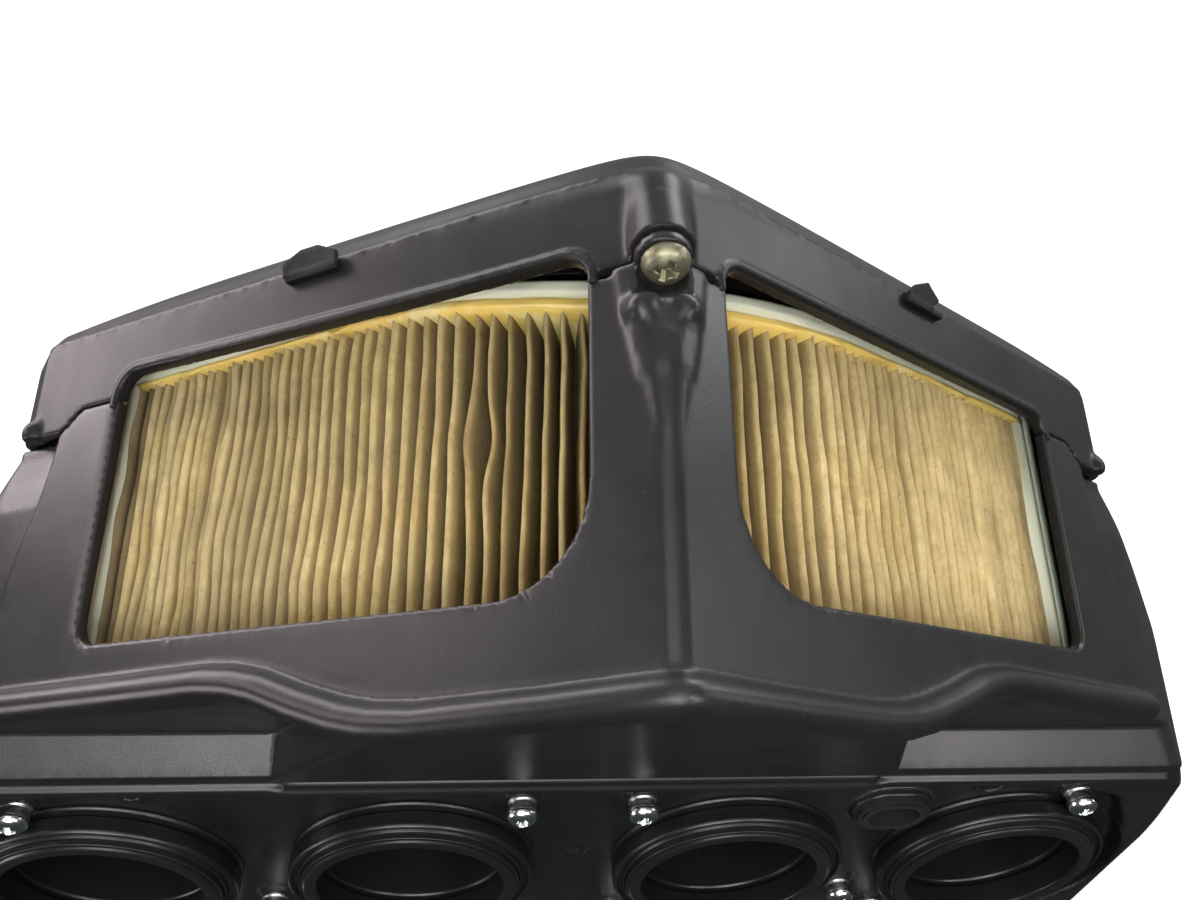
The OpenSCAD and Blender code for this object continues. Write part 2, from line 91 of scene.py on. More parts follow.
# outlines from the side: y, z
BELLY_SIDE = [(-158, 33.6), (-61, 26.5), (-45, 23.9), (-45, 46), (-158, 46)]
BELLY_SIDE_IN = [(-158, 36.2), (-61, 29.1), (-46.6, 29.1), (-46.6, 50), (-158, 50)]
LOWER_SIDE = [(-175, 41.6), (-61.4, 36.3), (-58.8, 26.6), (-49, 26.2), (-45, 23.9),
              (40.6, -21.6), (62, -10), (75, 30), (75, 140), (-175, 140)]
LOWER_SIDE_IN = [(-175, 44), (-58.5, 38.9), (-56.2, 29.2), (-47, 29.2), (-37.7, 31.4),
                 (42.7, -11.4), (59.6, -7), (72.5, 30.5), (72.5, 150), (-175, 150)]
COVER_SIDE = [(-175, 60), (75, 60), (75, 102), (74, 112), (60, 124), (20, 131),
              (-60, 131), (-154, 125.6), (-175, 124.2)]
# outlines from the front: x, z
LOWER_CROSS = mirrored([(162, -60), (162, 35), (143, 77), (131.6, 95), (131.6, 160)])
COVER_CROSS = mirrored([(135, 60), (135, 113.5), (124, 123.4), (60, 131)])
# bead at the foot of the front wall: distance along the wall, z
BEAD = [(-4, 36.3), (20, 34.8), (42, 33.8), (50, 34.2), (56, 35.2), (64.5, 37.5), (73, 40.3),
        (79, 41.5), (86, 42.0), (112, 41.2), (147.5, 40.2)]
# outer end of the front wall: z stations and the x at each
WING_Z = [36, 43, 58, 66, 74, 82, 90, 99, 102]
WING_X = [127.5, 127.1, 125.7, 124.8, 123.0, 120.6, 119.2, 118.2, 118.0]


# ------------------------------------------------------------ distance fields
def cross2(a, b):
    return a[0] * b[1] - a[1] * b[0]


def inset(points, amount):
    """move every side of a counter-clockwise outline inwards"""
    points = [np.array(point, float) for point in points]
    moved = []
    for i, here in enumerate(points):
        before, after = points[i - 1], points[(i + 1) % len(points)]
        arrive = (here - before) / np.linalg.norm(here - before)
        leave = (after - here) / np.linalg.norm(after - here)
        first = here + np.array([-arrive[1], arrive[0]]) * amount
        second = here + np.array([-leave[1], leave[0]]) * amount
        reach = cross2(second - first, leave) / cross2(arrive, leave)
        moved.append(first + arrive * reach)
    return moved


def polygon(points, a, b, rounding=0.0):
    """signed distance to an outline in the plane of a and b"""
    corners = inset(points, rounding) if rounding else points
    nearest, sign = F32(INF), F32(1)
    for i, here in enumerate(corners):
        before = corners[i - 1]
        edge_a, edge_b = float(before[0] - here[0]), float(before[1] - here[1])
        from_a, from_b = a - F32(here[0]), b - F32(here[1])
        t = np.clip((from_a * F32(edge_a) + from_b * F32(edge_b))
                    / F32(edge_a * edge_a + edge_b * edge_b), 0, 1)
        square = (from_a - F32(edge_a) * t) ** 2 + (from_b - F32(edge_b) * t) ** 2
        above = b >= here[1]
        below = b < before[1]
        left = (F32(edge_a) * from_b) > (F32(edge_b) * from_a)
        flip = (above & below & left) | (~above & ~below & ~left)
        nearest = np.minimum(nearest, square)
        sign = np.where(flip, -sign, sign)
    return (sign * np.sqrt(nearest) - F32(rounding)).astype(F32)


def polyline(points, a, b):
    """distance to an open line"""
    nearest = F32(INF)
    for (a0, b0), (a1, b1) in zip(points[:-1], points[1:]):
        da, db = a1 - a0, b1 - b0
        t = np.clip(((a - a0) * da + (b - b0) * db) / (da * da + db * db), 0, 1).astype(F32)
        nearest = np.minimum(nearest, (a - a0 - da * t) ** 2 + (b - b0 - db * t) ** 2)
    return np.sqrt(nearest)


def rounded_box(a, b, center, half, rounding, low_rounding=None):
    """low_rounding is for the corner on the low side of both axes"""
    a, b = a - center[0], b - center[1]
    if low_rounding is not None:
        rounding = np.where((a < 0) & (b < 0), F32(low_rounding), F32(rounding))
    over_a, over_b = np.abs(a) - half[0] + rounding, np.abs(b) - half[1] + rounding
    return (np.minimum(np.maximum(over_a, over_b), 0)
            + np.sqrt(np.maximum(over_a, 0) ** 2 + np.maximum(over_b, 0) ** 2) - rounding)


def smax(a, b, blend=0.0):
    """overlap of two solids, with a rounded join when blend is set"""
    if not blend:
        return np.maximum(a, b)
    near = np.maximum(F32(blend) - np.abs(a - b), 0) / F32(blend)
    return np.maximum(a, b) + near * near * F32(blend * 0.25)


def smin(a, b, blend=0.0):
    """union of two solids"""
    return -smax(-a, -b, blend)


def within(shape, height, low=-INF, high=INF):
    return np.maximum(shape, np.maximum(height - high, low - height))


def ease(t):
    return t * t * (3 - 2 * t)


class Field:
    """signed distances on a grid, negative in the solid"""

    def __init__(self, *axes):
        self.axes = [np.asarray(axis, F32) for axis in axes]
        self.dist = None

    def part(self, box):
        """index range that covers a box given as its low and high corner"""
        return tuple(slice(max(0, int(np.searchsorted(axis, low)) - 1),
                           int(np.searchsorted(axis, high)) + 1)
                     for axis, low, high in zip(self.axes, *box))

    def grid(self, part=(slice(None),) * 3):
        x, y, z = (axis[span] for axis, span in zip(self.axes, part))
        return x[:, None, None], y[None, :, None], z[None, None, :]

    def add(self, box, shape, blend=0.0, **sizes):
        part = self.part(box)
        solid = shape(*self.grid(part), **sizes).astype(F32)
        self.dist[part] = smin(self.dist[part], solid, blend)

    def cut(self, box, shape, blend=0.0, **sizes):
        part = self.part(box)
        solid = shape(*self.grid(part), **sizes).astype(F32)
        self.dist[part] = smax(self.dist[part], -solid, blend)

    def mirror(self):
        """x starts at 0: reflect the field to the other side"""
        self.dist = np.concatenate([self.dist[:0:-1], self.dist], axis=0)
        self.axes[0] = np.concatenate([-self.axes[0][:0:-1], self.axes[0]])

    def surface(self, band=2.5 * COARSEN, adaptivity=0.002):
        """points and faces of the zero surface"""
        dist = np.clip(self.dist, -band, band)
        for axis in range(3):       # keep the surface closed at the grid's border
            layers = np.moveaxis(dist, axis, 0)
            layers[:2] = np.maximum(layers[:2], 0.5)
            layers[-2:] = np.maximum(layers[-2:], 0.5)
        volume = openvdb.FloatGrid(float(band))
        volume.copyFromArray(np.ascontiguousarray(dist.astype(F32)), tolerance=0.0)
        points, *groups = volume.convertToPolygons(isovalue=0.0, adaptivity=adaptivity)
        coords = np.stack([np.interp(points[:, i], np.arange(len(axis)), axis)
                           for i, axis in enumerate(self.axes)], 1)
        faces = [tuple(int(i) for i in face[::-1]) for group in groups for face in group]
        return coords, faces


def stations(*spans):
    """grid positions from spans of (start, end, step)"""
    places = []
    for start, end, step in spans:
        count = max(2, int(round((end - start) / (step * COARSEN))))
        places += list(np.linspace(start, end, count, endpoint=False))
    places.append(spans[-1][1])
    return np.array(places)


# ------------------------------------------------------------ meshes
def build(name, shape, smooth=True):
    """mesh object from a shape, which is (points in mm, faces)"""
    coords, faces = shape
    mesh = bpy.data.meshes.new(name)
    mesh.from_pydata((np.asarray(coords) * MM).tolist(), [], faces)
    mesh.validate()
    mesh.update()
    if smooth:
        mesh.polygons.foreach_set("use_smooth", [True] * len(mesh.polygons))
    made = bpy.data.objects.new(name, mesh)
    bpy.context.scene.collection.objects.link(made)
    return made


def merge(shapes):
    coords, faces, offset = [], [], 0
    for points, polygons in shapes:
        coords.append(points)
        faces += [tuple(i + offset for i in face) for face in polygons]
        offset += len(points)
    return np.concatenate(coords), faces


def copies(shape, matrices):
    """one copy of a shape per matrix; the matrices are in metres"""
    metres = (shape[0] * MM).astype(F32)
    return merge([((metres @ np.array(matrix.to_3x3()).T) * 1000
                   + np.array(matrix.translation) * 1000, shape[1]) for matrix in matrices])


def tube_faces(rings, count, flip):
    """side quads and two end caps for rings of count points"""
    faces = []
    for i in range(rings - 1):
        for j in range(count):
            k = (j + 1) % count
            faces.append((i * count + j, i * count + k,
                          (i + 1) * count + k, (i + 1) * count + j))
    faces.append(tuple(range(count))[::-1])
    faces.append(tuple((rings - 1) * count + j for j in range(count)))
    return [face[::-1] for face in faces] if flip else faces


# ------------------------------------------------------------ local frames and shapes
def wall_frame(x, y):
    """distance along the front wall from the nose, and depth behind it"""
    across = np.abs(x)
    return (across * WALL_COS + (y + NOSE) * WALL_SIN,
            -across * WALL_SIN + (y + NOSE) * WALL_COS)


def eased_depth(x, y, easing):
    """depth behind the front wall, with the nose rounded off"""
    return -np.sqrt(x * x + easing) * WALL_SIN + (y + NOSE) * WALL_COS


def plate_frame(y, z):
    """y and height in the tilted outlet plate"""
    return y * PLATE_COS - z * PLATE_SIN, y * PLATE_SIN + z * PLATE_COS


def from_plate(x, y, z):
    return x, y * PLATE_COS + z * PLATE_SIN, -y * PLATE_SIN + z * PLATE_COS


def screw_frame(x, y, z, at):
    """distance along a tilted screw axis, and distance from it"""
    along = (y - at[1]) * SCREW_SIN + (z - at[2]) * SCREW_COS
    away = np.sqrt((x - at[0]) ** 2
                   + ((y - at[1]) * SCREW_COS - (z - at[2]) * SCREW_SIN) ** 2)
    return along, away


def leg_frame(x, y):
    """distance along a leg from the end of the curve, and depth behind its front"""
    across = np.abs(x)
    return (across * WALL_COS + (y + BEND_CENTER) * WALL_SIN,
            -across * WALL_SIN + (y + BEND_CENTER) * WALL_COS + BEND_RADIUS)


def element_frame(x, y):
    """depth behind the element's front, and distance past its end"""
    along, depth = leg_frame(x, y)
    arc_depth = BEND_RADIUS - np.sqrt(x * x + (y + BEND_CENTER) ** 2)
    return np.where(along < 0, arc_depth, depth), along - LEG


def split_height(x, y):
    """the split dips at the outer ends of the front wall"""
    dip = np.clip((np.abs(x) - 112) / 7.0, 0, 1) * np.clip((-44 - y) / 8.0, 0, 1)
    return SPLIT_Z - 4.6 * ease(dip)


def ball(x, y, z, at, radius, flatten=1.0):
    return np.sqrt((x - at[0]) ** 2 + (y - at[1]) ** 2
                   + ((z - at[2]) * flatten) ** 2) - radius


def screw_cylinder(x, y, z, at, radius, bottom=-INF, top=INF):
    along, away = screw_frame(x, y, z, at)
    return within(away - radius, along, bottom, top)


def plate_cylinder(x, y, z, at, radius, low=-INF, high=INF):
    plate_y, height = plate_frame(y, z)
    away = np.sqrt((x - at[0]) ** 2 + (plate_y - at[1]) ** 2)
    return within(away - radius, height, low, high)


LEFT_RISE = 2.0     # the top edge of the left window rises this much towards its outer end


def window_outline(x, y, z, rise):
    along, depth = wall_frame(x, y)
    shift = rise * np.clip((along - 34) / 84, 0, 1) * np.clip((z - 66) / 30, 0, 1)
    return rounded_box(along, z - shift, center=(68.45, 78.15), half=(54.75, 27.15),
                       rounding=4.5, low_rounding=17.0), depth


def window_hole(x, y, z, rise=0.0):
    outline, depth = window_outline(x, y, z, rise)
    return within(outline, depth, -14, 8)


def window_lip(x, y, z, rise=0.0):
    """raised lip along the top edge"""
    outline, depth = window_outline(x, y, z, rise)
    return np.maximum(within(np.abs(outline - 1.2) - 0.65, depth, -0.45, 1), 99 - z)


def end_wall(x, y, front):
    """wall just past the end of the element"""
    along, depth = leg_frame(x, y)
    return within(np.abs(along - LEG - 3.3) - 1.1, depth, front, 26)


def box_around(at, x_reach, y_low, y_high, z_low, z_high):
    """box about a cover screw: reaches in x and y, absolute heights"""
    return ((at[0] - x_reach, at[1] - y_low, z_low), (at[0] + x_reach, at[1] + y_high, z_high))


# ------------------------------------------------------------ lower case
def lower_shell(field):
    """hollow body; returns its plan distance and its outer skin"""
    x, y, z = field.grid()
    plan = polygon(PLAN, x, y, 4.5)
    cross = polygon(LOWER_CROSS, x, z, 2.0)
    outer = smax(smax(plan, polygon(LOWER_SIDE, y, z, 1.2), 2.0), cross, 4.0)
    belly = polygon(BELLY_PLAN, x, y, 0.8)
    bulge = smax(np.maximum(belly, plan + 0.02), polygon(BELLY_SIDE, y, z, 0.6), 1.6)
    outer = np.minimum(outer, bulge)
    inner = smax(smax(plan + 2.7, polygon(LOWER_SIDE_IN, y, z), 2.0), cross + 2.6, 3.0)
    # the front wall ends in a step, behind which the side wing falls back
    part = field.part(((108, -94, 36), (150, -50, 110)))
    wing_x, wing_y, wing_z = field.grid(part)
    depth = wall_frame(wing_x, wing_y)[1]
    edge = np.interp(wing_z, WING_Z, WING_X).astype(F32)
    step = 1.8 + 1.6 * np.clip((wing_z - 82) / 12, 0, 1)
    wing = smax(smax((edge - np.abs(wing_x)) * 0.85, depth - step, 1.6), 43.5 - wing_z, 1.0)
    outer[part] = smax(outer[part], -wing, 0.8)
    inner[part] = smax(inner[part], 2.4 - wing, 0.8)
    belly_in = smax(belly + 2.6, polygon(BELLY_SIDE_IN, y, z), 1.0)
    field.dist = smax(outer, -smin(inner, belly_in, 1.0), 0.6)
    return plan, outer


def lower_supports(field, outer):
    """rim flange, ribs under the element, end walls and screw columns"""
    x, y, z = field.grid()
    rim = polygon(RIM_PLAN, x, y, 3.2)
    flange = np.maximum(np.maximum(np.maximum(rim, -(rim + 8)), 96 - z), -64 - y)
    field.dist = smin(field.dist, np.maximum(flange, outer + 0.8), 1.5)
    part = field.part(((0, -160, 20), (125, -40, 101)))
    x, y, z = field.grid(part)
    depth, past_end = element_frame(x, y)
    limit = np.maximum(z - 44, past_end)
    ribs = np.minimum(np.maximum(np.abs(depth - 5) - 1, limit),
                      np.maximum(np.abs(depth - 19) - 1, limit))
    ribs = np.minimum(ribs, np.maximum(end_wall(x, y, -12), z - 99.5))
    field.dist[part] = smin(field.dist[part], smax(ribs, outer[part] + 1.0, 0.5), 0.8)
    for at in COVER_SCREWS:
        field.add(box_around(at, 10, 22, 12, 66, 108), screw_cylinder, 2.0,
                  at=at, radius=5, bottom=-30, top=6)


GROOVE_TOP = np.array([0, -159.3, 93.5])
GROOVE_FOOT = np.array([0, -161.7, 71.0])
NOSE_BOX = ((0, -166, 64), (16, -135, 108))


def nose_groove(x, y, z, top_radius, foot_radius):
    """tapered groove down the nose, below the front screw"""
    length = np.linalg.norm(GROOVE_FOOT - GROOVE_TOP)
    way = (GROOVE_FOOT - GROOVE_TOP) / length
    t = (y - GROOVE_TOP[1]) * way[1] + (z - GROOVE_TOP[2]) * way[2]
    away = np.sqrt(x ** 2 + ((y - GROOVE_TOP[1]) * way[2] - (z - GROOVE_TOP[2]) * way[1]) ** 2)
    taper = np.clip(t / length, 0, 1)
    return np.maximum(away - (top_radius + (foot_radius - top_radius) * taper),
                      np.maximum(-t - 1.5, t - length - 4))


def nose_body(field, plan):
    """material around the front screw pocket and the groove, kept inside the plan"""
    part = field.part(NOSE_BOX)
    spot = field.grid(part)
    inside = plan[part[:2]]
    boss = screw_cylinder(*spot, at=FRONT_SCREW, radius=7.4, bottom=-17, top=2.2)
    groove = smax(nose_groove(*spot, top_radius=8.6, foot_radius=6.4), inside, 1.0)
    body = smin(smax(boss, inside, 1.0), groove, 2.0)
    field.dist[part] = smin(field.dist[part], body, 1.5)


def head_pocket(x, y, z):
    """round pocket that widens below its mouth"""
    along, away = screw_frame(x, y, z, FRONT_SCREW)
    widen = ease(np.clip((-along - 1.6) / 4.0, 0, 1))
    return within(away - 4.42 - 1.15 * widen, along, -5.6, 0)


def nose_details(field):
    """round seat, pocket, screw hole, groove, channel and two small lumps"""
    field.add(NOSE_BOX, screw_cylinder, 0.4, at=FRONT_SCREW, radius=4.6, bottom=-0.2, top=2.2)
    field.cut(NOSE_BOX, head_pocket, 0.35)
    field.cut(NOSE_BOX, screw_cylinder, at=FRONT_SCREW, radius=2.3, bottom=-1, top=4)
    field.cut(NOSE_BOX, nose_groove, 1.4, top_radius=5.6, foot_radius=2.0)
    field.cut(NOSE_BOX, screw_cylinder, 0.6,
              at=(0, -154.5, 101.2), radius=2.1, bottom=-11.0, top=0)
    field.add(NOSE_BOX, ball, 2.6, at=(3.9, -153.3, 93.5), radius=1.5)
    field.add(NOSE_BOX, ball, 1.0, at=(0, -153.4, 88.6), radius=1.2)


def bead(x, y, z):
    along = wall_frame(x, y)[0]
    depth = eased_depth(x, y, 10.0)
    line = polyline(BEAD, along, z)
    return np.sqrt(line * line + (depth + 0.7) ** 2) - 2.9


def bead_filler(x, y, z):
    """small block behind the bend of the bead"""
    along, depth = wall_frame(x, y)
    return np.maximum(np.maximum(np.abs(along - 59) - 11, np.abs(depth - 1.35) - 1.3),
                      np.abs(z - 38.6) - 2.7)


def plate_channel(x, y, z):
    return np.maximum(np.sqrt((y + 53.4) ** 2 + (z - 25.4) ** 2) - 2.4, x - 146)


def plate_lip(x, y, z):
    center = 24.9 - 0.7 * np.clip((74 - x) / 5, 0, 1)
    return np.maximum(np.sqrt((y + 47.0) ** 2 + (z - center) ** 2) - 1.5, x - 148)


def split_notch(x, y, z):
    return rounded_box(np.abs(x), z, center=(10.2, SPLIT_Z), half=(2.6, 1.5), rounding=0.6)


def plate_recess(x, y, z):
    """shallow recess in the underside that holds all outlets"""
    plate_y, height = plate_frame(y, z)
    middle = rounded_box(x, plate_y, center=(0, -2.8), half=(124, 45.8), rounding=1.0)
    end = plate_cylinder(x, y, z, at=(OUTLET_X[1], 0), radius=37.2)
    corner = polygon([(118, -48.6), (126, -48.6), (141, -42), (152, -24), (118, 0)], x, plate_y)
    return smax(smin(smin(middle, end, 1.0), corner, 1.0), height - 7, 1.2)


def plate_boss(x, y, z, at):
    """slightly conical boss for a plate screw"""
    height = plate_frame(y, z)[1]
    cone = plate_cylinder(x, y, z, at, radius=4.7) + (7 - height) * 0.06
    return within(cone, height, 5.6, 9)


def outlets(field):
    field.cut(((0, -60, -28), (166, 60, 40)), plate_recess, 0.8)
    for x in OUTLET_X:
        field.cut(((x - 32, -40, -26), (x + 32, 48, 40)), plate_cylinder, 0.3,
                  at=(x, 0), radius=29.1)
    for at in PLATE_SCREWS:
        x, y, z = from_plate(*at, 7)
        box = ((max(0, x - 9), y - 12, z - 12), (x + 9, y + 12, z + 12))
        field.add(box, plate_boss, 0.6, at=at)
        field.cut(box, plate_cylinder, 0.2, at=at, radius=2.45)


def seal_groove(x, y, z):
    rim = polygon(RIM_PLAN, x, y, 3.2)
    return np.maximum(np.maximum(np.abs(rim + 4.6) - 1.25, 99.4 - z), -67.6 - y)


def rear_lug(x, y, z):
    eye = np.sqrt(x ** 2 + (y - LUG_Y) ** 2) - 12.8
    root = within(np.abs(x) - 12.8, y, 73, LUG_Y)
    return smax(np.minimum(eye, root), np.abs(z - 64) - 3.95, 1.2)


def lug_hole(x, y, z):
    return np.sqrt(x ** 2 + (y - LUG_Y) ** 2) - 8.02


def port(x, y, z, radius, low=-INF, high=INF):
    """slightly elongated port in the plate"""
    plate_y, height = plate_frame(y, z)
    away = np.sqrt(np.maximum(np.abs(x - 85) - 2, 0) ** 2 + (plate_y + 26.5) ** 2)
    return within(away - radius, height, low, high)


def plate_ring(x, y, z):
    """low ring between the middle outlets"""
    ring = np.abs(plate_cylinder(x, y, z, at=(0, -3), radius=2.9)) - 0.55
    return within(ring, plate_frame(y, z)[1], 6.2, 8)


def one_sided_details(field):
    field.add(((72, -38, 6), (98, -10, 34)), port, 0.8, radius=9.3, low=4.6, high=8)
    field.cut(((72, -38, 0), (98, -10, 40)), port, 0.3, radius=6.55)
    for x, outer_radius, inner_radius in ((108, 5.2, 3.4), (-108, 4.0, 1.9)):
        box = ((x - 8, -46, 10), (x + 8, -22, 40))
        field.add(box, plate_cylinder, 0.6, at=(x, -41), radius=outer_radius, low=4.4, high=9)
        field.cut(box, plate_cylinder, 0.3, at=(x, -41), radius=inner_radius, high=7.6)
    field.add(((-6, -14, -2), (6, 12, 16)), plate_ring, 0.3)
    field.cut(((-12, 76, 54), (12, 92, 74)), lug_hole, 0.3)


def lower_case():
    field = Field(stations((0, 166, 0.62)), stations((-164, -40, 0.55), (-40, 92, 1.1)),
                  stations((-28, 20, 0.95), (20, 108, 0.6)))
    plan, outer = lower_shell(field)
    lower_supports(field, outer)
    nose_body(field, plan)
    # everything above the split goes; the round seat is added after that
    x, y, z = field.grid()
    field.dist = smax(field.dist, z - (split_height(x, y) - 0.35), 0.5)
    nose_details(field)
    field.add(((36, -140, 30), (62, -108, 46)), bead_filler)
    field.add(((0, -164, 26), (134, -66, 56)), bead, 1.3)
    field.cut(((0, -60, 20), (150, -46, 32)), plate_channel, 0.8)
    field.add(((0, -54, 18), (152, -40, 32)), plate_lip, 0.5)
    field.cut(((6, -160, 46), (110, -72, 108)), window_hole, 0.55)
    field.cut(((6, -160, 98), (14, -135, 103)), split_notch, 0.3)
    outlets(field)
    for corner in ((90, -72, 98), (0, 60, 98)):
        field.cut((corner, (150, 80, 104)), seal_groove, 0.2)
    for at in COVER_SCREWS:
        field.cut(box_around(at, 8, 18, 10, 74, 106), screw_cylinder,
                  at=at, radius=3.02, bottom=-22)
    field.add(((0, 70, 54), (20, 92, 74)), rear_lug, 2.0)
    field.mirror()
    field.cut(((-110, -160, 46), (-6, -72, 110)), window_hole, 0.55, rise=LEFT_RISE)
    one_sided_details(field)
    return field.surface()


# ------------------------------------------------------------ cover
COVER_WALL = 2.6


def cover_shell(field):
    """hollow cover with flange and ribs; returns its outer skin"""
    x, y, z = field.grid()
    plan = polygon(RIM_PLAN, x, y, 4.5)
    side = polygon(COVER_SIDE, y, z, 0.5)
    cross = polygon(COVER_CROSS, x, z, 3.0)
    depth = eased_depth(x, y, 30.0)
    bevel = smax(-depth * 0.906 + (z - 119.9) * 0.423, -depth * 0.6 + (z - 123.9) * 0.8, 1.4)
    outer = smax(smax(smax(plan, side, 1.5), cross, 3.0), bevel, 0.9)
    inner = smax(smax(plan + COVER_WALL, side + COVER_WALL, 2.0), cross + COVER_WALL, 3.0)
    inner = smax(inner, bevel + COVER_WALL, 1.5)
    field.dist = smax(outer, -inner, 0.4)
    flange = np.maximum(np.maximum(np.maximum(plan, -(plan + 8)), z - 106), -64 - y)
    depth, past_end = element_frame(x, y)
    top_ribs = np.maximum(np.minimum(np.abs(depth - 7), np.abs(depth - 17)) - 1,
                          np.maximum(past_end, 117.6 - z))
    rear_rib = np.maximum(np.maximum(np.abs(depth - 26.5) - 1, past_end), 108.2 - z)
    extra = np.minimum(np.minimum(flange, top_ribs),
                       np.minimum(rear_rib, end_wall(x, y, 3)))
    field.dist = smin(field.dist, smax(extra, outer + 0.9, 0.5), 0.8)
    return outer


def nose_boss(x, y, z):
    """boss above the front screw"""
    column = screw_cylinder(x, y, z, at=FRONT_SCREW, radius=5.3, bottom=2.35)
    return smax(column, z - 119.8, 3.0)


def below_boss(x, y, z):
    return z - 101.9


def cover_screw_hole(x, y, z, at):
    """narrow hole with a wide counterbore above"""
    return np.minimum(screw_cylinder(x, y, z, at, radius=2.4, bottom=-8),
                      screw_cylinder(x, y, z, at, radius=4.8, bottom=8))


def flash_line(field):
    """thin uneven ridge along the top of the front wall"""
    part = field.part(((0, -162, 117), (134, -66, 122)))
    x, y, z = field.grid(part)
    along, depth = wall_frame(x, y)
    height = (0.22 + 0.08 * np.sin(along * 0.9) * np.sin(along * 0.37 + 1.0)
              + 0.04 * np.sin(along * 2.3)).astype(F32)
    field.dist[part] -= height * np.exp(-((z - 119.9) / 0.75) ** 2 - (depth / 1.6) ** 2)


def cover():
    field = Field(stations((0, 146, 0.62)), stations((-164, -56, 0.5), (-56, 80, 1.15)),
                  stations((92, 126, 0.42), (126, 135, 0.8)))
    outer = cover_shell(field)
    for at in COVER_SCREWS:
        part = field.part(box_around(at, 12, 10, 22, 96, 135))
        column = screw_cylinder(*field.grid(part), at=at, radius=7, bottom=-3)
        field.dist[part] = smin(field.dist[part], smax(column, outer[part] + 0.9, 0.8), 1.5)
    x, y, z = field.grid()
    field.dist = smax(field.dist, split_height(x, y) - z, 0.4)
    box = ((0, -164, 96), (14, -132, 122))
    field.add(box, nose_boss, 1.3)
    field.cut(box, below_boss, 0.3)
    field.cut(box, screw_cylinder, 0.25, at=FRONT_SCREW, radius=4.8, top=2.3)
    field.cut(box, screw_cylinder, at=FRONT_SCREW, radius=3.02, top=15)
    field.add(((6, -160, 100), (110, -78, 112)), window_lip, 0.5)
    flash_line(field)
    # rounded knob at the lower outer corner
    field.add(((118, -84, 92), (136, -64, 108)), ball, 1.6,
              at=(125.9, -73.4, 98.8), radius=2.6, flatten=0.85)
    field.dist = smax(field.dist, 96.9 - z, 0.6)
    field.cut(((6, -160, 94), (110, -72, 110)), window_hole, 0.4)
    for at in COVER_SCREWS:
        field.cut(box_around(at, 12, 12, 24, 96, 135), cover_screw_hole, 0.4, at=at)
    field.mirror()
    field.add(((-110, -160, 100), (-6, -78, 113)), window_lip, 0.5, rise=LEFT_RISE)
    field.cut(((-110, -160, 94), (-6, -72, 112)), window_hole, 0.4, rise=LEFT_RISE)
    return field.surface()


# ------------------------------------------------------------ screws and tabs
def pan_screw(head_radius, shank_radius, length, recess_reach=2.1):
    """pan head with a cross recess, head towards -z, shank towards +z"""
    step = 0.11 * 1.0
    across = np.arange(-head_radius - 0.6, head_radius + 0.6, step)
    field = Field(across, across, np.concatenate([np.arange(-SCREW_HEAD - 0.5, 1.2, step),
                                                  np.arange(1.2, length + 0.6, 0.25)]))
    x, y, z = field.grid()
    away = np.sqrt(x * x + y * y)
    dome_radius = (head_radius ** 2 + SCREW_HEAD ** 2) / (2 * SCREW_HEAD) * 1.22
    dome = np.sqrt(away * away + (z - (dome_radius - SCREW_HEAD)) ** 2) - dome_radius
    head = smax(smax(dome, away - head_radius, 1.1), z, 0.3)
    turn = (z * 1.25 + np.arctan2(y, x) / (2 * np.pi)) % 1.0
    thread = 0.16 * np.abs(turn - 0.5) * 2
    shank = within(away - shank_radius + thread, z, -0.5, length)
    field.dist = smin(head, shank, 0.2).astype(F32)
    depth = z + SCREW_HEAD          # measured from the top of the head
    for long_side, short_side in ((x, y), (y, x)):
        arm = np.maximum(np.abs(short_side) - (0.62 - depth * 0.10),
                         np.abs(long_side) - (recess_reach - depth * 0.75))
        field.dist = smax(field.dist, -np.maximum(arm, depth - 1.9), 0.14)
    # the large value ends the cone-shaped middle of the recess
    middle = away - (1.25 - depth * 0.3) + np.where(depth > 1.7, 9, 0)
    field.dist = smax(field.dist, -middle, 0.2)
    return field.surface(adaptivity=0.01)


# outlines in the wall's plane: distance from the tab's middle, z
TAB_LEFT = [(-6.6, 117.4), (6.6, 117.6), (7.0, 120.6), (6.0, 121.2), (2.6, 122.9),
            (-1.5, 122.9), (-6.4, 120.4)]
TAB_RIGHT = [(-5.2, 117.4), (1.0, 117.0), (5.8, 120.6), (1.8, 123.8), (-3.2, 121.6),
             (-5.8, 119.2)]


def tab(side, middle, outline, rounding, curl):
    """thin curled tab on the upper front wall; side is -1 or 1 along x"""
    field = Field(stations((64, 84, 0.25)), stations((-3.4, 1.6, 0.2)),
                  stations((113.5, 126, 0.22)))
    along, depth, z = field.grid()
    t = along - middle
    bend = 0.010 * t * t * curl + 0.10 * (z - 118)
    flap = smax(polygon(outline, t, z, rounding), np.abs(depth + 0.95 + bend) - 0.55, 0.4)
    root = np.maximum(np.maximum(np.abs(t) - 6.3, np.abs(z - 117.4) - 0.7),
                      np.abs(depth + 0.7) - 0.8)
    field.dist = smin(flap.astype(F32), root, 0.8)
    coords, faces = field.surface(band=2.0, adaptivity=0.005)
    x = coords[:, 0] * WALL_COS - coords[:, 1] * WALL_SIN
    y = coords[:, 0] * WALL_SIN + coords[:, 1] * WALL_COS - NOSE
    if side < 0:
        faces = [face[::-1] for face in faces]
    return np.stack([x * side, y, coords[:, 2]], 1), faces


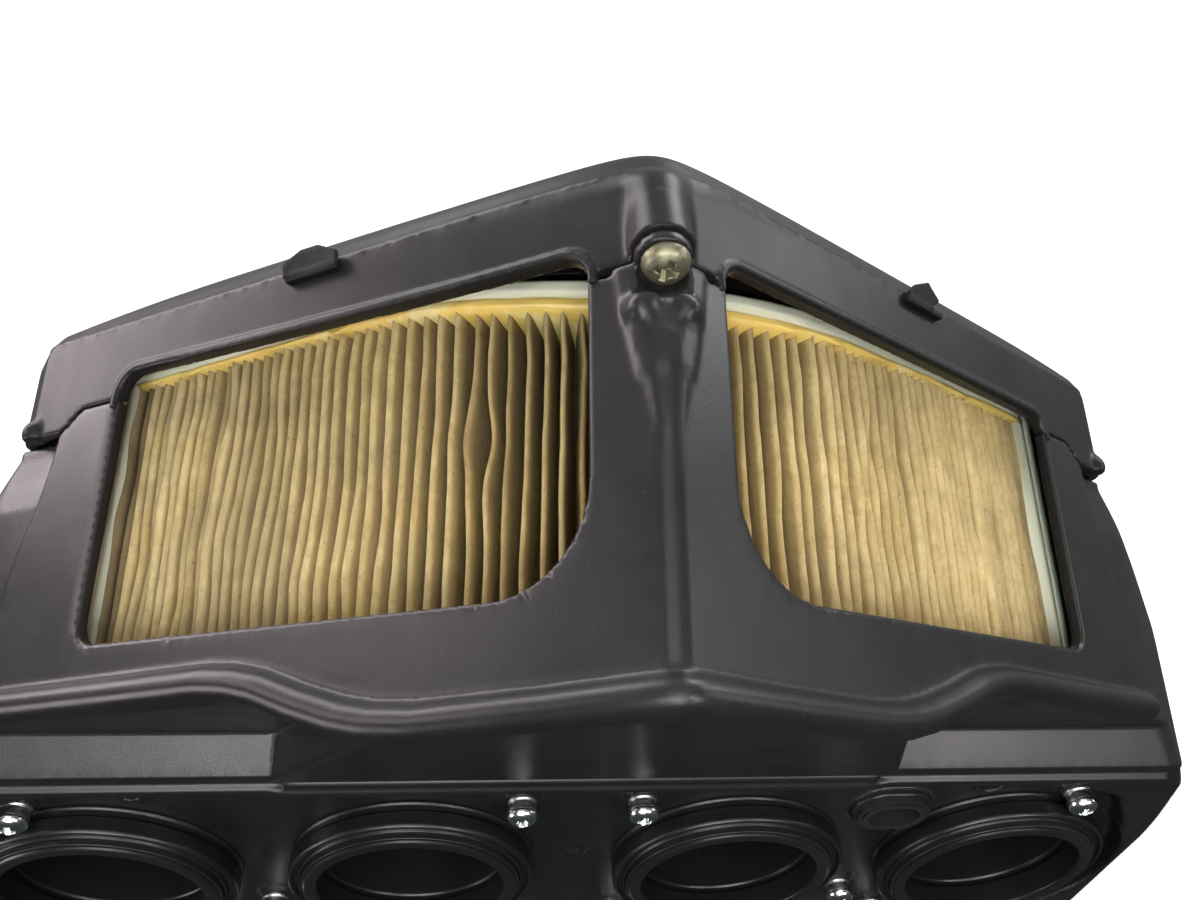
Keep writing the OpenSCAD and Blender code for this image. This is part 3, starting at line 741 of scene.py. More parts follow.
# ------------------------------------------------------------ filter element
def element_point(along, depth):
    """x, y at a signed length from the middle of the element and a depth behind its front"""
    along, depth = np.asarray(along, float), np.asarray(depth, float)
    angle = np.clip(np.abs(along) / BEND_RADIUS, 0, SWEEP)
    past_arc = np.maximum(np.abs(along) - ARC, 0)
    x = (BEND_RADIUS - depth) * np.sin(angle) + past_arc * WALL_COS
    y = -BEND_CENTER - (BEND_RADIUS - depth) * np.cos(angle) + past_arc * WALL_SIN
    return np.sign(along) * x, y


def rail_rise(along):
    """the upper rail is not quite level"""
    places = np.linspace(-125, 125, 251)
    rise = np.interp(places, [-125, -95, -60, -44, -16, 0, 30, 60, 80, 125],
                     [1.4, 1.9, 2.6, 2.7, 0.9, 0.5, 0.5, 1.1, 1.5, 1.6])
    weights = np.hanning(25)
    weights /= weights.sum()
    rise = np.convolve(np.pad(rise, 12, mode="edge"), weights, mode="valid")
    return np.interp(along, places, rise)


def glue_rise(along):
    """the upper glue bed gets thinner towards the ends"""
    return rail_rise(along) + 1.6 * np.clip((np.abs(along + 4) - 22) / 46.0, 0, 1)


def lattice(count, spacing):
    t = np.arange(count) / spacing
    cell = t.astype(int)
    return cell, ease(t - cell)


def noise_line(count, seed, spacing):
    knots = np.random.default_rng(seed).normal(size=int(count / spacing) + 4)
    i, t = lattice(count, spacing)
    return knots[i] * (1 - t) + knots[i + 1] * t


def noise_sheet(rows, columns, seed, row_spacing, column_spacing):
    size = (int(rows / row_spacing) + 3, int(columns / column_spacing) + 3)
    knots = np.random.default_rng(seed).normal(size=size)
    i, s = lattice(rows, row_spacing)
    j, t = lattice(columns, column_spacing)
    s, t = s[:, None], t[None, :]
    near = knots[np.ix_(i, j)] * (1 - s) + knots[np.ix_(i + 1, j)] * s
    far = knots[np.ix_(i, j + 1)] * (1 - s) + knots[np.ix_(i + 1, j + 1)] * s
    return near * (1 - t) + far * t


def sweep(start, end, depth, height, rounding, step, uneven=0.0, seed=1, drip=0.0, lift=None):
    """bar along the element with rounded edges and a slightly uneven surface

    depth and height are (low, high); lift gives the rise of its bottom and its top.
    """
    rings = max(2, int((end - start) / (step * COARSEN)))
    along = np.linspace(start, end, rings)
    (d0, d1), (z0, z1), r = depth, height, rounding
    corners = [(d0, z0 + r), (d0, z1 - r), (d0 + r, z1), (d1 - r, z1),
               (d1, z1 - r), (d1, z0 + r), (d1 - r, z0), (d0 + r, z0)]
    profile = []
    for i, pieces in enumerate((4, 2, 4, 2, 2, 2, 4, 2)):
        a, b = corners[i], corners[(i + 1) % 8]
        profile += [(a[0] + (b[0] - a[0]) * k / pieces, a[1] + (b[1] - a[1]) * k / pieces)
                    for k in range(pieces)]
    flat_depth, flat_z = np.array(profile).T[:, None, :]
    count = len(profile)
    z = flat_z + noise_sheet(rings, count, seed, 5, 3) * uneven
    painted_fold_shade = flat_depth + noise_sheet(rings, count, seed + 9, 7, 4) * uneven
    if drip:
        front = np.clip(1 - np.abs(flat_depth - d0) / 1.0, 0, 1)
        low = np.clip((z1 - flat_z) / (z1 - z0), 0, 1)
        drops = np.maximum(noise_line(rings, seed + 3, 4.5), 0)[:, None]
        z = z - front * low * drops * drip
        painted_fold_shade = painted_fold_shade - front * 0.25 * drops
    if lift:
        bottom, top = (rise(along)[:, None] for rise in lift)
        t = (flat_z - z0) / (z1 - z0)
        z = z + bottom * (1 - t) + top * t
    x, y = element_point(np.repeat(along[:, None], count, 1), painted_fold_shade)
    return np.stack([x.ravel(), y.ravel(), z.ravel()], 1), tube_faces(rings, count, flip=True)


PLEATS = 78
PLEAT_SAMPLES = 10          # along the paper, per pleat
PAPER_Z = (49.4, 106.6)
PAPER_DEPTH = 17.5
PAPER_FRONT = 0.9           # depth of the ridges
PAPER_HALF_THICK = 0.2
# pleats around the crushed one: index offset, shift along the element, extra depth
CRUSH = ((0, -1.45, 0.9), (1, 1.05, 0.5), (-1, -0.75, 0.2), (2, 0.35, 0.1))
CRUSH_ALONG, CRUSH_Z = 31.5, 82.0   # left of the middle, mid height


def leaning_wave(along, z, size, z_length, phase, along_length, center, spread):
    return (size * np.sin(z[None, :] / z_length + phase + along / along_length)
            * np.exp(-((along + center) / spread) ** 2))


def sheet_faces(rows, columns):
    """front and back of a sheet of points, closed around its edge"""
    back = rows * columns
    faces = []
    for i in range(rows - 1):
        for j in range(columns - 1):
            a = i * columns + j
            b = a + columns
            faces.append((a, b, b + 1, a + 1))
            faces.append((back + a, back + a + 1, back + b + 1, back + b))
        a = i * columns
        faces.append((a, back + a, back + a + columns, a + columns))
        a += columns - 1
        faces.append((a, a + columns, back + a + columns, back + a))
    for j in range(columns - 1):
        faces.append((j, j + 1, back + j + 1, back + j))
        a = (rows - 1) * columns + j
        faces.append((a, back + a, back + a + 1, a + 1))
    return faces


def pleated_paper():
    half_length = ELEMENT_HALF - 1.9
    rows = PLEATS * PLEAT_SAMPLES + 1
    columns = 44
    z0, z1 = PAPER_Z
    z = np.linspace(z0, z1, columns)
    pleat = np.arange(rows) / PLEAT_SAMPLES             # ridge at whole numbers
    flank = np.abs(((pleat + 0.5) % 1.0) - 0.5) * 2     # 0 at the ridge, 1 in the valley
    # rounded ridge, nearly flat flanks
    fold = np.where(flank < 0.2, flank * flank * 2.2, 0.088 + (flank - 0.2) / 0.8 * 0.912)
    # folds stand closer together in the legs than around the front curve
    length = np.linspace(0, half_length, 3001)
    pitch = np.interp(length, [0, 45, 95, half_length], [4.25, 4.25, 3.2, 3.2])
    number = np.concatenate([[0], np.cumsum((length[1] - length[0]) / pitch[1:])])
    number *= PLEATS / 2 / number[-1]
    from_middle = pleat - PLEATS / 2
    base = np.sign(from_middle) * np.interp(np.abs(from_middle), number, length)
    # the ridges wander, the valleys stay
    ridge = np.round(pleat).astype(int)
    rng = np.random.default_rng(11)
    ridges = PLEATS + 2
    lean = rng.normal(size=ridges) * 0.22
    stand = rng.normal(size=ridges) * 0.36
    wave = (noise_sheet(ridges, columns, 21, 2.2, 9) * 0.20
            + noise_sheet(ridges, columns, 22, 1.0, 12) * 0.13
            + noise_sheet(ridges, columns, 24, 1.0, 4) * 0.07)
    depth_wave = noise_sheet(ridges, columns, 23, 1.2, 7) * 0.25
    free = np.clip(np.minimum(z - z0, z1 - z) / 9.0, 0, 1)[None, :]     # 0 in the glue
    loose = (1 - fold)[:, None]
    calm = np.clip((half_length - np.abs(base) - 1.5) / 7.0, 0, 1)[:, None]
    along = base[:, None] + loose * calm * (lean[ridge][:, None] + wave[ridge] * free)
    depth = (PAPER_FRONT + fold[:, None] * PAPER_DEPTH
             + loose * (0.5 + stand[ridge][:, None] * 0.8 + depth_wave[ridge] * free))
    # one crushed pleat that gapes open at mid height
    crushed = int(round(PLEATS / 2 - np.interp(CRUSH_ALONG, length, number)))
    gape = np.exp(-((z - CRUSH_Z) / 6.0) ** 2)[None, :]
    for offset, shift, extra_depth in CRUSH:
        near = np.clip(1 - np.abs(pleat - (crushed + offset)) / 0.5, 0, 1)[:, None]
        along += near * shift * gape
        depth += near * extra_depth * gape * 1.2
    # long waves where the folds lean together
    waves = (leaning_wave(along, z, size=0.85, z_length=8.5, phase=0, along_length=9.0,
                          center=92, spread=26.0)
             + leaning_wave(along, z, size=0.4, z_length=7.0, phase=1.7, along_length=11.0,
                            center=60, spread=16.0))
    along = along + loose * waves * calm * free
    height = z0 + (z[None, :] - z0) * (z1 - z0 + glue_rise(base)[:, None]) / (z1 - z0)
    # thickness: offset both ways across the strip
    x, y = element_point(along, depth)
    dx, dy = np.gradient(x, axis=0), np.gradient(y, axis=0)
    size = np.sqrt(dx * dx + dy * dy) + 1e-9
    across_x, across_y = dy / size, -dx / size
    coords = np.concatenate([
        np.stack([x + across_x * half, y + across_y * half, height], -1).reshape(-1, 3)
        for half in (PAPER_HALF_THICK, -PAPER_HALF_THICK)])
    paper = build("filter_pleats", (coords, sheet_faces(rows, columns)))
    fold_value = np.clip((depth.ravel() - PAPER_FRONT) / PAPER_DEPTH, 0, 1)
    for name, values in (("fold", fold_value), ("along", along.ravel() / 120)):
        attribute = paper.data.attributes.new(name, "FLOAT", "POINT")
        attribute.data.foreach_set("value", np.tile(values, 2).astype(F32))
    return paper


# section of an end strip: distance past the leg, depth
STRIP_PROFILE = [(-1.0, -0.3), (-0.7, -0.85), (1.8, -0.85), (2.1, -0.3), (2.1, 6), (2.0, 14),
                 (1.6, 22.8), (0.02, 22.8), (0.02, 14), (0.02, 0.0)]


def end_strip(side, seed, lean):
    """upright strip around one end of the element; side is -1 or 1 along x"""
    rings = 60
    heights = np.linspace(45.2, 112.2, rings)
    along_noise = noise_line(rings, seed, 6) * 0.22
    depth_noise = noise_line(rings, seed + 1, 9) * 0.25
    coords = []
    for i, z in enumerate(heights):
        for past, depth in STRIP_PROFILE:
            uneven = depth < -0.1
            along = LEG + past + (along_noise[i] * 0.3 if uneven else 0) + lean * (z - 46) / 65
            painted_fold_shade = depth + (depth_noise[i] * 0.6 if uneven else 0)
            x = BEND_RADIUS * WALL_SIN + along * WALL_COS - painted_fold_shade * WALL_SIN
            y = -BEND_CENTER - BEND_RADIUS * WALL_COS + along * WALL_SIN + painted_fold_shade * WALL_COS
            coords.append((side * x, y, z))
    return coords, tube_faces(rings, len(STRIP_PROFILE), flip=side < 0)


# ------------------------------------------------------------ turned parts and cord
def lathe(profile, segments, at, wobble=0.0, tilted=True):
    """turn a closed (radius, height) profile; tilted parts stand on the outlet plate"""
    segments = int(segments / (1))
    profile = np.array(profile, float)
    count = len(profile)
    angle = np.arange(segments) / segments * 2 * math.pi
    radius = profile[None, :, 0] + wobble * np.sin(3 * angle + 0.7)[:, None]
    x = (radius * np.cos(angle)[:, None]).ravel() + at[0]
    y = (radius * np.sin(angle)[:, None]).ravel() + at[1]
    z = np.tile(profile[:, 1], segments)
    faces = []
    for i in range(segments):
        k = (i + 1) % segments
        for j in range(count):
            m = (j + 1) % count
            faces.append((i * count + j, k * count + j, k * count + m, i * count + m))
    return np.stack(from_plate(x, y, z) if tilted else (x, y, z), 1), faces


def round_corners(points, radius, pieces):
    rounded = []
    points = [np.array(point, float) for point in points]
    for i, corner in enumerate(points):
        back = points[i - 1] - corner
        ahead = points[(i + 1) % len(points)] - corner
        back_length, ahead_length = np.linalg.norm(back), np.linalg.norm(ahead)
        reach = min(radius, back_length * 0.45, ahead_length * 0.45)
        start, end = corner + back / back_length * reach, corner + ahead / ahead_length * reach
        for k in range(pieces + 1):
            t = k / pieces
            rounded.append((1 - t) ** 2 * start + 2 * t * (1 - t) * corner + t * t * end)
    return rounded


# profiles: radius, height
COLLAR = round_corners([(2.32, 2.02), (3.7, 2.02), (3.7, 3.0), (3.3, 3.3), (3.3, 4.4),
                        (3.7, 4.7), (3.7, 5.58), (2.32, 5.58)], radius=0.18, pieces=2)
OUTLET_RING = round_corners([
    (28.95, 0.1), (29.7, 0.0), (30.1, 1.2), (30.9, 1.2), (31.3, 0.0), (32.0, 0.05),
    (32.5, 0.8), (32.5, 4.2), (32.0, 4.6), (32.0, 6.0), (32.45, 6.4), (32.45, 6.98),
    (28.95, 6.98)], radius=0.3, pieces=2)
FUNNEL = round_corners([
    (24.6, -1.4), (25.2, -2.0), (27.6, -2.0), (28.3, -1.2), (28.9, -1.2), (28.9, 13.12),
    (31.5, 13.12), (31.5, 15.1), (27.8, 15.6), (27.6, 30), (29.6, 37.6), (34, 42.2),
    (34.0, 45.2), (32.4, 45.4), (29.9, 42.6), (27.2, 38.8), (25.5, 32), (24.6, 24),
    (24.6, 7), (25.0, 6.6), (25.0, 5.4), (24.6, 5.0)], radius=0.5, pieces=3)
GROMMET = round_corners([
    (5.02, 57.6), (10.0, 57.6), (10.5, 58.6), (10.5, 59.9), (8.0, 60.0), (8.0, 68.0),
    (10.5, 68.1), (10.5, 69.6), (10.0, 70.4), (5.02, 70.4)], radius=0.5, pieces=3)


def cord():
    """seal cord in the rim groove, open along the front wall"""
    corners = inset(RIM_PLAN, 4.6)
    stops = corners[2:8]
    # the ends reach a little way along the front wall
    stops[0] = corners[2] + (corners[1] - corners[2]) * 0.02
    stops[-1] = corners[7] + (corners[8] - corners[7]) * 0.02
    line = []
    for p, q in zip(stops[:-1], stops[1:]):
        pieces = max(2, int(np.linalg.norm(q - p) / 3))
        line += [p + (q - p) * k / pieces for k in range(pieces)]
    line = np.array(line + [stops[-1]])
    for _ in range(3):
        line[1:-1] = (line[:-2] + line[1:-1] * 2 + line[2:]) / 4
    rings, count = len(line), 10
    way = np.gradient(line, axis=0)
    way /= np.linalg.norm(way, axis=1)[:, None]
    sideways = np.stack([-way[:, 1], way[:, 0]], 1)
    coords, faces = [], []
    for i in range(rings):
        for j in range(count):
            angle = 2 * math.pi * j / count
            radius = 1.0 + 0.03 * math.sin(i * 0.7 + j)
            x, y = line[i] + sideways[i] * math.cos(angle) * radius
            coords.append((x, y, 100.75 + math.sin(angle) * 1.12))
    for i in range(rings - 1):
        for j in range(count):
            k = (j + 1) % count
            faces.append((i * count + k, (i + 1) * count + k,
                          (i + 1) * count + j, i * count + j))
    faces.append(tuple(range(count)))
    faces.append(tuple((rings - 1) * count + j for j in range(count))[::-1])
    return coords, faces


# ------------------------------------------------------------ materials
BLACK, WHITE = (0, 0, 0), (1, 1, 1)


class Graph:
    """adds nodes to one node tree, which it empties first"""

    def __init__(self, tree):
        self.tree = tree
        for node in list(tree.nodes):
            tree.nodes.remove(node)

    def node(self, kind, **settings):
        node = self.tree.nodes.new(kind)
        for key, value in settings.items():
            setattr(node, key, value)
        return node

    def feed(self, socket, value):
        """set a socket to a number or a colour, or link an output to it"""
        if isinstance(value, (int, float)):
            socket.default_value = value
        elif isinstance(value, tuple):
            socket.default_value = (*value, 1)
        else:
            self.tree.links.new(value, socket)

    def coords(self, scale=(1, 1, 1), rotation=(0, 0, 0)):
        source = self.node("ShaderNodeTexCoord")
        mapping = self.node("ShaderNodeMapping")
        mapping.inputs["Scale"].default_value = scale
        mapping.inputs["Rotation"].default_value = rotation
        self.feed(mapping.inputs["Vector"], source.outputs["Object"])
        return mapping.outputs[0]

    def noise(self, where, scale, detail, rough, warp=0.0):
        node = self.node("ShaderNodeTexNoise")
        for key, value in (("Scale", scale), ("Detail", detail), ("Roughness", rough),
                           ("Distortion", warp), ("Vector", where)):
            self.feed(node.inputs[key], value)
        return node.outputs[0]

    def ramp(self, value, stops):
        node = self.node("ShaderNodeValToRGB")
        elements = node.color_ramp.elements
        while len(elements) < len(stops):
            elements.new(0.5)
        for i, (position, colour) in enumerate(stops):
            elements[i].position = position
            elements[i].color = (*colour, 1)
        self.feed(node.inputs[0], value)
        return node.outputs[0]

    def mask(self, value, low, high):
        """0 below low, 1 above high"""
        return self.ramp(value, [(low, BLACK), (high, WHITE)])

    def mix(self, amount, a, b):
        node = self.node("ShaderNodeMix", data_type="RGBA")
        # sockets of the colour version: 0 factor, 6 and 7 colours, 2 result
        for socket, value in ((0, amount), (6, a), (7, b)):
            self.feed(node.inputs[socket], value)
        return node.outputs[2]

    def math(self, operation, a, b, clamp=False):
        node = self.node("ShaderNodeMath", operation=operation, use_clamp=clamp)
        self.feed(node.inputs[0], a)
        self.feed(node.inputs[1], b)
        return node.outputs[0]

    def times(self, a, b, clamp=False):
        return self.math("MULTIPLY", a, b, clamp)

    def plus(self, a, b, clamp=False):
        return self.math("ADD", a, b, clamp)

    def bump(self, shader, height, strength, distance):
        node = self.node("ShaderNodeBump")
        for key, value in (("Strength", strength), ("Distance", distance), ("Height", height)):
            self.feed(node.inputs[key], value)
        self.feed(shader.inputs["Normal"], node.outputs[0])


def new_material(name):
    material = bpy.data.materials.new(name)
    material.use_nodes = True
    graph = Graph(material.node_tree)
    output = graph.node("ShaderNodeOutputMaterial")
    shader = graph.node("ShaderNodeBsdfPrincipled")
    graph.feed(output.inputs[0], shader.outputs[0])
    return material, graph, shader


def case_material(name, base, rough, dust, specular=0.40):
    """dark plastic with scratches, worn edges and dust; rough is (low, high)"""
    material, g, shader = new_material(name)
    where = g.coords()
    stretched_z = g.coords(scale=(1, 1, 14), rotation=(0.3, 0.5, 0.2))
    stretched_x = g.coords(scale=(9, 1, 1), rotation=(0.2, 0.9, 0.5))
    big = g.noise(where, scale=22, detail=5, rough=0.6, warp=0.4)
    fine = g.noise(where, scale=2600, detail=3, rough=0.6)
    cloud = g.noise(where, scale=60, detail=6, rough=0.65, warp=0.8)
    scratch_z = g.noise(stretched_z, scale=300, detail=6, rough=0.75, warp=0.2)
    scratch_x = g.noise(stretched_x, scale=420, detail=6, rough=0.8, warp=0.3)
    scratches = g.math("MAXIMUM", g.mask(scratch_z, 0.66, 0.72), g.mask(scratch_x, 0.68, 0.74))
    patches = g.mask(g.noise(where, scale=34, detail=2, rough=0.5), 0.42, 0.62)
    scratches = g.times(scratches, patches)
    geometry = g.node("ShaderNodeNewGeometry")
    edge = g.mask(geometry.outputs["Pointiness"], 0.50, 0.56)
    speck = g.mask(g.noise(where, scale=900, detail=2, rough=0.5), 0.73, 0.78)
    colour = g.mix(cloud, (base * 0.75, base * 0.74, base * 0.76),
                   (base * 1.5, base * 1.48, base * 1.55))
    # layers over the plastic: mask, strength, colour
    for layer, strength, tint in ((g.mask(big, 0.45, 0.8), 0.10 * dust, (0.12, 0.105, 0.09)),
                                  (scratches, 0.16, (0.16, 0.15, 0.15)),
                                  (edge, 0.14, (0.10, 0.098, 0.10)),
                                  (speck, 0.22 * dust, (0.26, 0.24, 0.21))):
        colour = g.mix(g.times(layer, strength), colour, tint)
    g.feed(shader.inputs["Base Color"], colour)
    roughness = g.plus(g.times(cloud, rough[1] - rough[0]), rough[0] - 0.02)
    roughness = g.plus(roughness, g.times(scratches, 0.14), clamp=True)
    g.feed(shader.inputs["Roughness"], roughness)
    shader.inputs["Specular IOR Level"].default_value = specular
    height = g.plus(g.times(fine, 0.35), g.times(scratches, -0.5))
    swell = g.noise(where, scale=45, detail=2, rough=0.5)
    g.bump(shader, g.plus(height, g.times(swell, 2.2)), strength=0.35, distance=0.00025)
    return material


def plain_material(name, dark, light, rough, scale, bump, metal=0.0, specular=0.5,
                   spots=None, scatter=0.0):
    """two mottled colours; rough is (low, high), bump is (strength, distance),
    spots is (colour, noise scale, threshold, strength)"""
    material, g, shader = new_material(name)
    where = g.coords()
    fine = g.noise(where, scale=scale, detail=5, rough=0.6, warp=0.3)
    broad = g.noise(where, scale=scale * 0.17, detail=4, rough=0.6, warp=0.5)
    colour = g.mix(broad, dark, light)
    if spots:
        tint, spot_scale, threshold, strength = spots
        spot = g.noise(where, scale=spot_scale, detail=4, rough=0.65, warp=0.5)
        spot = g.mask(spot, threshold, threshold + 0.08)
        colour = g.mix(g.times(spot, strength), colour, tint)
    g.feed(shader.inputs["Base Color"], colour)
    g.feed(shader.inputs["Roughness"], g.plus(g.times(fine, rough[1] - rough[0]), rough[0]))
    shader.inputs["Metallic"].default_value = metal
    shader.inputs["Specular IOR Level"].default_value = specular
    if scatter:
        shader.inputs["Subsurface Weight"].default_value = scatter
        shader.inputs["Subsurface Radius"].default_value = (0.004, 0.003, 0.001)
        shader.inputs["Subsurface Scale"].default_value = 0.4
    g.bump(shader, g.plus(fine, g.times(broad, 1.5)), strength=bump[0], distance=bump[1])
    return material


def paper_material():
    """tan paper, dirtier towards the left, with painted shade in the folds, a painted highlight
    along the ridge crests and a painted shadow on the last pleats at the left end
    """
    material, g, shader = new_material("filter_paper")
    where = g.coords()
    upright = g.coords(scale=(1, 1, 0.35))
    fold = g.node("ShaderNodeAttribute", attribute_name="fold").outputs["Fac"]
    along = g.node("ShaderNodeAttribute", attribute_name="along").outputs["Fac"]
    fibre = g.noise(upright, scale=1300, detail=6, rough=0.8, warp=0.5)
    mottle = g.noise(where, scale=160, detail=5, rough=0.65, warp=0.5)
    blotch = g.noise(where, scale=34, detail=4, rough=0.6, warp=0.6)

    def leftward(start, gain):
        """grows towards -x from a place along the element"""
        return g.times(g.plus(g.times(along, -1.0), -start), gain, clamp=True)

    face = g.mix(g.mask(mottle, 0.30, 0.68), (0.42, 0.297, 0.108), (0.69, 0.515, 0.228))
    # painted shade: the paper turns dark brown towards the fold valleys, where shade falls
    # between the pleats
    painted_fold_shade = g.mix(mottle, (0.13, 0.088, 0.032), (0.23, 0.165, 0.066))
    colour = g.mix(g.mask(fold, 0.01, 0.26), face, painted_fold_shade)
    colour = g.mix(g.times(g.mask(fibre, 0.38, 0.62), 0.50), colour, (0.30, 0.212, 0.083))
    dirt = g.times(g.mask(blotch, 0.34, 0.62), g.plus(leftward(0.35, 1.1), 0.42), clamp=True)
    colour = g.mix(g.times(dirt, 0.75), colour, (0.20, 0.16, 0.10))
    # painted shadow: the last pleats at the left end are darkened to dark brown
    colour = g.mix(g.times(leftward(0.925, 18.0), 0.8), colour, (0.10, 0.065, 0.035))
    speck = g.mask(g.noise(where, scale=1300, detail=3, rough=0.6), 0.64, 0.70)
    colour = g.mix(g.times(speck, 0.60), colour, (0.08, 0.055, 0.035))
    # painted highlight: a lighter tan, broken up by the mottle, along the crest of each ridge
    painted_crest_highlight = g.ramp(fold, [(0.0, WHITE), (0.10, BLACK)])
    colour = g.mix(g.times(painted_crest_highlight, g.times(mottle, 0.7)), colour, (0.72, 0.58, 0.33))
    g.feed(shader.inputs["Base Color"], colour)
    # plain value, in force only if the link below is taken away
    shader.inputs["Roughness"].default_value = 0.85
    shader.inputs["Specular IOR Level"].default_value = 0.22
    g.feed(shader.inputs["Roughness"], g.plus(g.times(fibre, 0.2), 0.7))
    g.bump(shader, g.plus(fibre, g.times(mottle, 1.5)), strength=0.75, distance=0.0004)
    return material


MATERIALS = {
    "case": case_material("case_plastic", base=0.0085, rough=(0.26, 0.44), dust=0.55),
    "cover": case_material("cover_plastic", base=0.0088, rough=(0.27, 0.45), dust=0.6,
                           specular=0.23),
    "funnel": case_material("funnel_plastic", base=0.006, rough=(0.24, 0.38), dust=0.3),
    "rubber": plain_material(
        "outlet_rubber", dark=(0.006, 0.006, 0.0065), light=(0.011, 0.011, 0.012),
        rough=(0.24, 0.42), scale=500, bump=(0.25, 0.0002), specular=0.45,
        spots=((0.12, 0.11, 0.10), 120, 0.66, 0.15)),
    "tab": plain_material(
        "tab_rubber", dark=(0.003, 0.003, 0.0035), light=(0.006, 0.006, 0.0065),
        rough=(0.5, 0.75), scale=900, bump=(0.5, 0.0002), specular=0.2),
    "foam": plain_material(
        "foam", dark=(0.02, 0.02, 0.02), light=(0.05, 0.05, 0.05),
        rough=(0.9, 1.0), scale=2200, bump=(1.0, 0.0006), specular=0.2),
    "zinc": plain_material(
        "old_zinc", dark=(0.20, 0.19, 0.12), light=(0.33, 0.31, 0.21),
        rough=(0.30, 0.55), scale=700, bump=(0.35, 0.00006), metal=0.8,
        spots=((0.09, 0.075, 0.045), 520, 0.56, 0.7)),
    "bright": plain_material(
        "bright_plate", dark=(0.72, 0.72, 0.74), light=(0.86, 0.86, 0.88),
        rough=(0.12, 0.28), scale=500, bump=(0.15, 0.0001), metal=1.0,
        spots=((0.25, 0.24, 0.23), 300, 0.66, 0.5)),
    "steel": plain_material(
        "plain_steel", dark=(0.42, 0.42, 0.44), light=(0.60, 0.60, 0.62),
        rough=(0.25, 0.45), scale=600, bump=(0.2, 0.0001), metal=1.0),
    "brass": plain_material(
        "brass", dark=(0.60, 0.44, 0.18), light=(0.72, 0.55, 0.25),
        rough=(0.25, 0.45), scale=500, bump=(0.2, 0.0001), metal=1.0),
    "rail": plain_material(
        "rail_foam", dark=(0.70, 0.69, 0.53), light=(0.80, 0.79, 0.64),
        rough=(0.42, 0.62), scale=300, bump=(0.45, 0.0003), specular=0.4,
        spots=((0.60, 0.50, 0.26), 60, 0.6, 0.45), scatter=0.10),
    "glue": plain_material(
        "amber_glue", dark=(0.72, 0.47, 0.10), light=(0.83, 0.62, 0.20),
        rough=(0.22, 0.45), scale=240, bump=(0.5, 0.0004),
        spots=((0.88, 0.78, 0.42), 70, 0.52, 0.6), scatter=0.15),
    "strip_l": plain_material(
        "strip_beige", dark=(0.62, 0.54, 0.38), light=(0.76, 0.69, 0.53),
        rough=(0.45, 0.65), scale=300, bump=(0.4, 0.0003), specular=0.4,
        spots=((0.48, 0.36, 0.16), 50, 0.56, 0.6), scatter=0.05),
    "strip_r": plain_material(
        "strip_green", dark=(0.66, 0.70, 0.58), light=(0.76, 0.79, 0.68),
        rough=(0.45, 0.6), scale=300, bump=(0.3, 0.0002), specular=0.4,
        spots=((0.70, 0.62, 0.34), 50, 0.6, 0.4), scatter=0.05),
    "paper": paper_material(),
}


def paint(target, material):
    target.data.materials.clear()
    target.data.materials.append(MATERIALS[material])


# ------------------------------------------------------------ pieces
LOWER, COVER, FILTER = "lower_body", "cover_body", "filter_body"


def attach(piece, body, material, slot, *nodes):
    """paint a piece, tie it to its body and hide the CAD nodes it replaces"""
    paint(piece, material)
    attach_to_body(piece, body)
    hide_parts(*nodes)


def weighted(piece):
    """flat areas decide the shading normals, so rounded edges stay crisp"""
    modifier = piece.modifiers.new("weighted", "WEIGHTED_NORMAL")
    modifier.mode = "FACE_AREA"
    modifier.weight = 50
    modifier.keep_sharp = False
    return piece


attach(weighted(build("case_lower", lower_case())), LOWER, "case", "case", "lower_case")
attach(weighted(build("case_cover", cover())), COVER, "cover", "case", "upper_case")
attach(build("tab_left", tab(-1, middle=71.7, outline=TAB_LEFT, rounding=0.4, curl=1)),
       COVER, "tab", "tab", "duct_tab_left")
attach(build("tab_right", tab(1, middle=74, outline=TAB_RIGHT, rounding=0.5, curl=0.4)),
       COVER, "tab", "tab", "duct_tab_right")


def shift(x, y, z):
    return Matrix.Translation(Vector((x, y, z)) * MM)


def spun(matrices):
    """turn each screw by a random angle about its own axis"""
    rng = np.random.default_rng(3)
    return [matrix @ Matrix.Rotation(float(rng.uniform(0, 1.5)), 4, "Z") for matrix in matrices]


ON_PLATE = Matrix.Rotation(math.radians(-PLATE_TILT), 4, "X")
ON_SCREW_AXIS = Matrix.Rotation(math.radians(-SCREW_TILT), 4, "X")
HEAD_UP = Matrix.Rotation(math.pi, 4, "X")
front_place = (shift(FRONT_SCREW[0] + 0.28, FRONT_SCREW[1], FRONT_SCREW[2])
               @ ON_SCREW_AXIS @ Matrix.Rotation(0.30, 4, "Z"))
front_screw = pan_screw(head_radius=4.08, shank_radius=1.98, length=13.4, recess_reach=2.3)
attach(build("front_cross_screw", copies(front_screw, [front_place])),
       "front_screw_body", "zinc", "zinc", "front_screw")
plate_places = [ON_PLATE @ shift(side * x, y, 2) for side in (1, -1) for x, y in PLATE_SCREWS]
plate_screw = pan_screw(head_radius=4.15, shank_radius=2.05, length=15.9)
attach(build("outlet_pan_screws", copies(plate_screw, spun(plate_places))),
       "outlet_screws_body", "bright", "bright", "outlet_screws")
cover_places = [shift(side * x, y, z) @ ON_SCREW_AXIS @ shift(0, 0, 8) @ HEAD_UP
                for side in (1, -1) for x, y, z in COVER_SCREWS]
cover_screw = pan_screw(head_radius=4.15, shank_radius=1.98, length=25.8)
attach(build("cover_pan_screws", copies(cover_screw, spun(cover_places))),
       "cover_screws_body", "zinc", "zinc", "cover_screws")

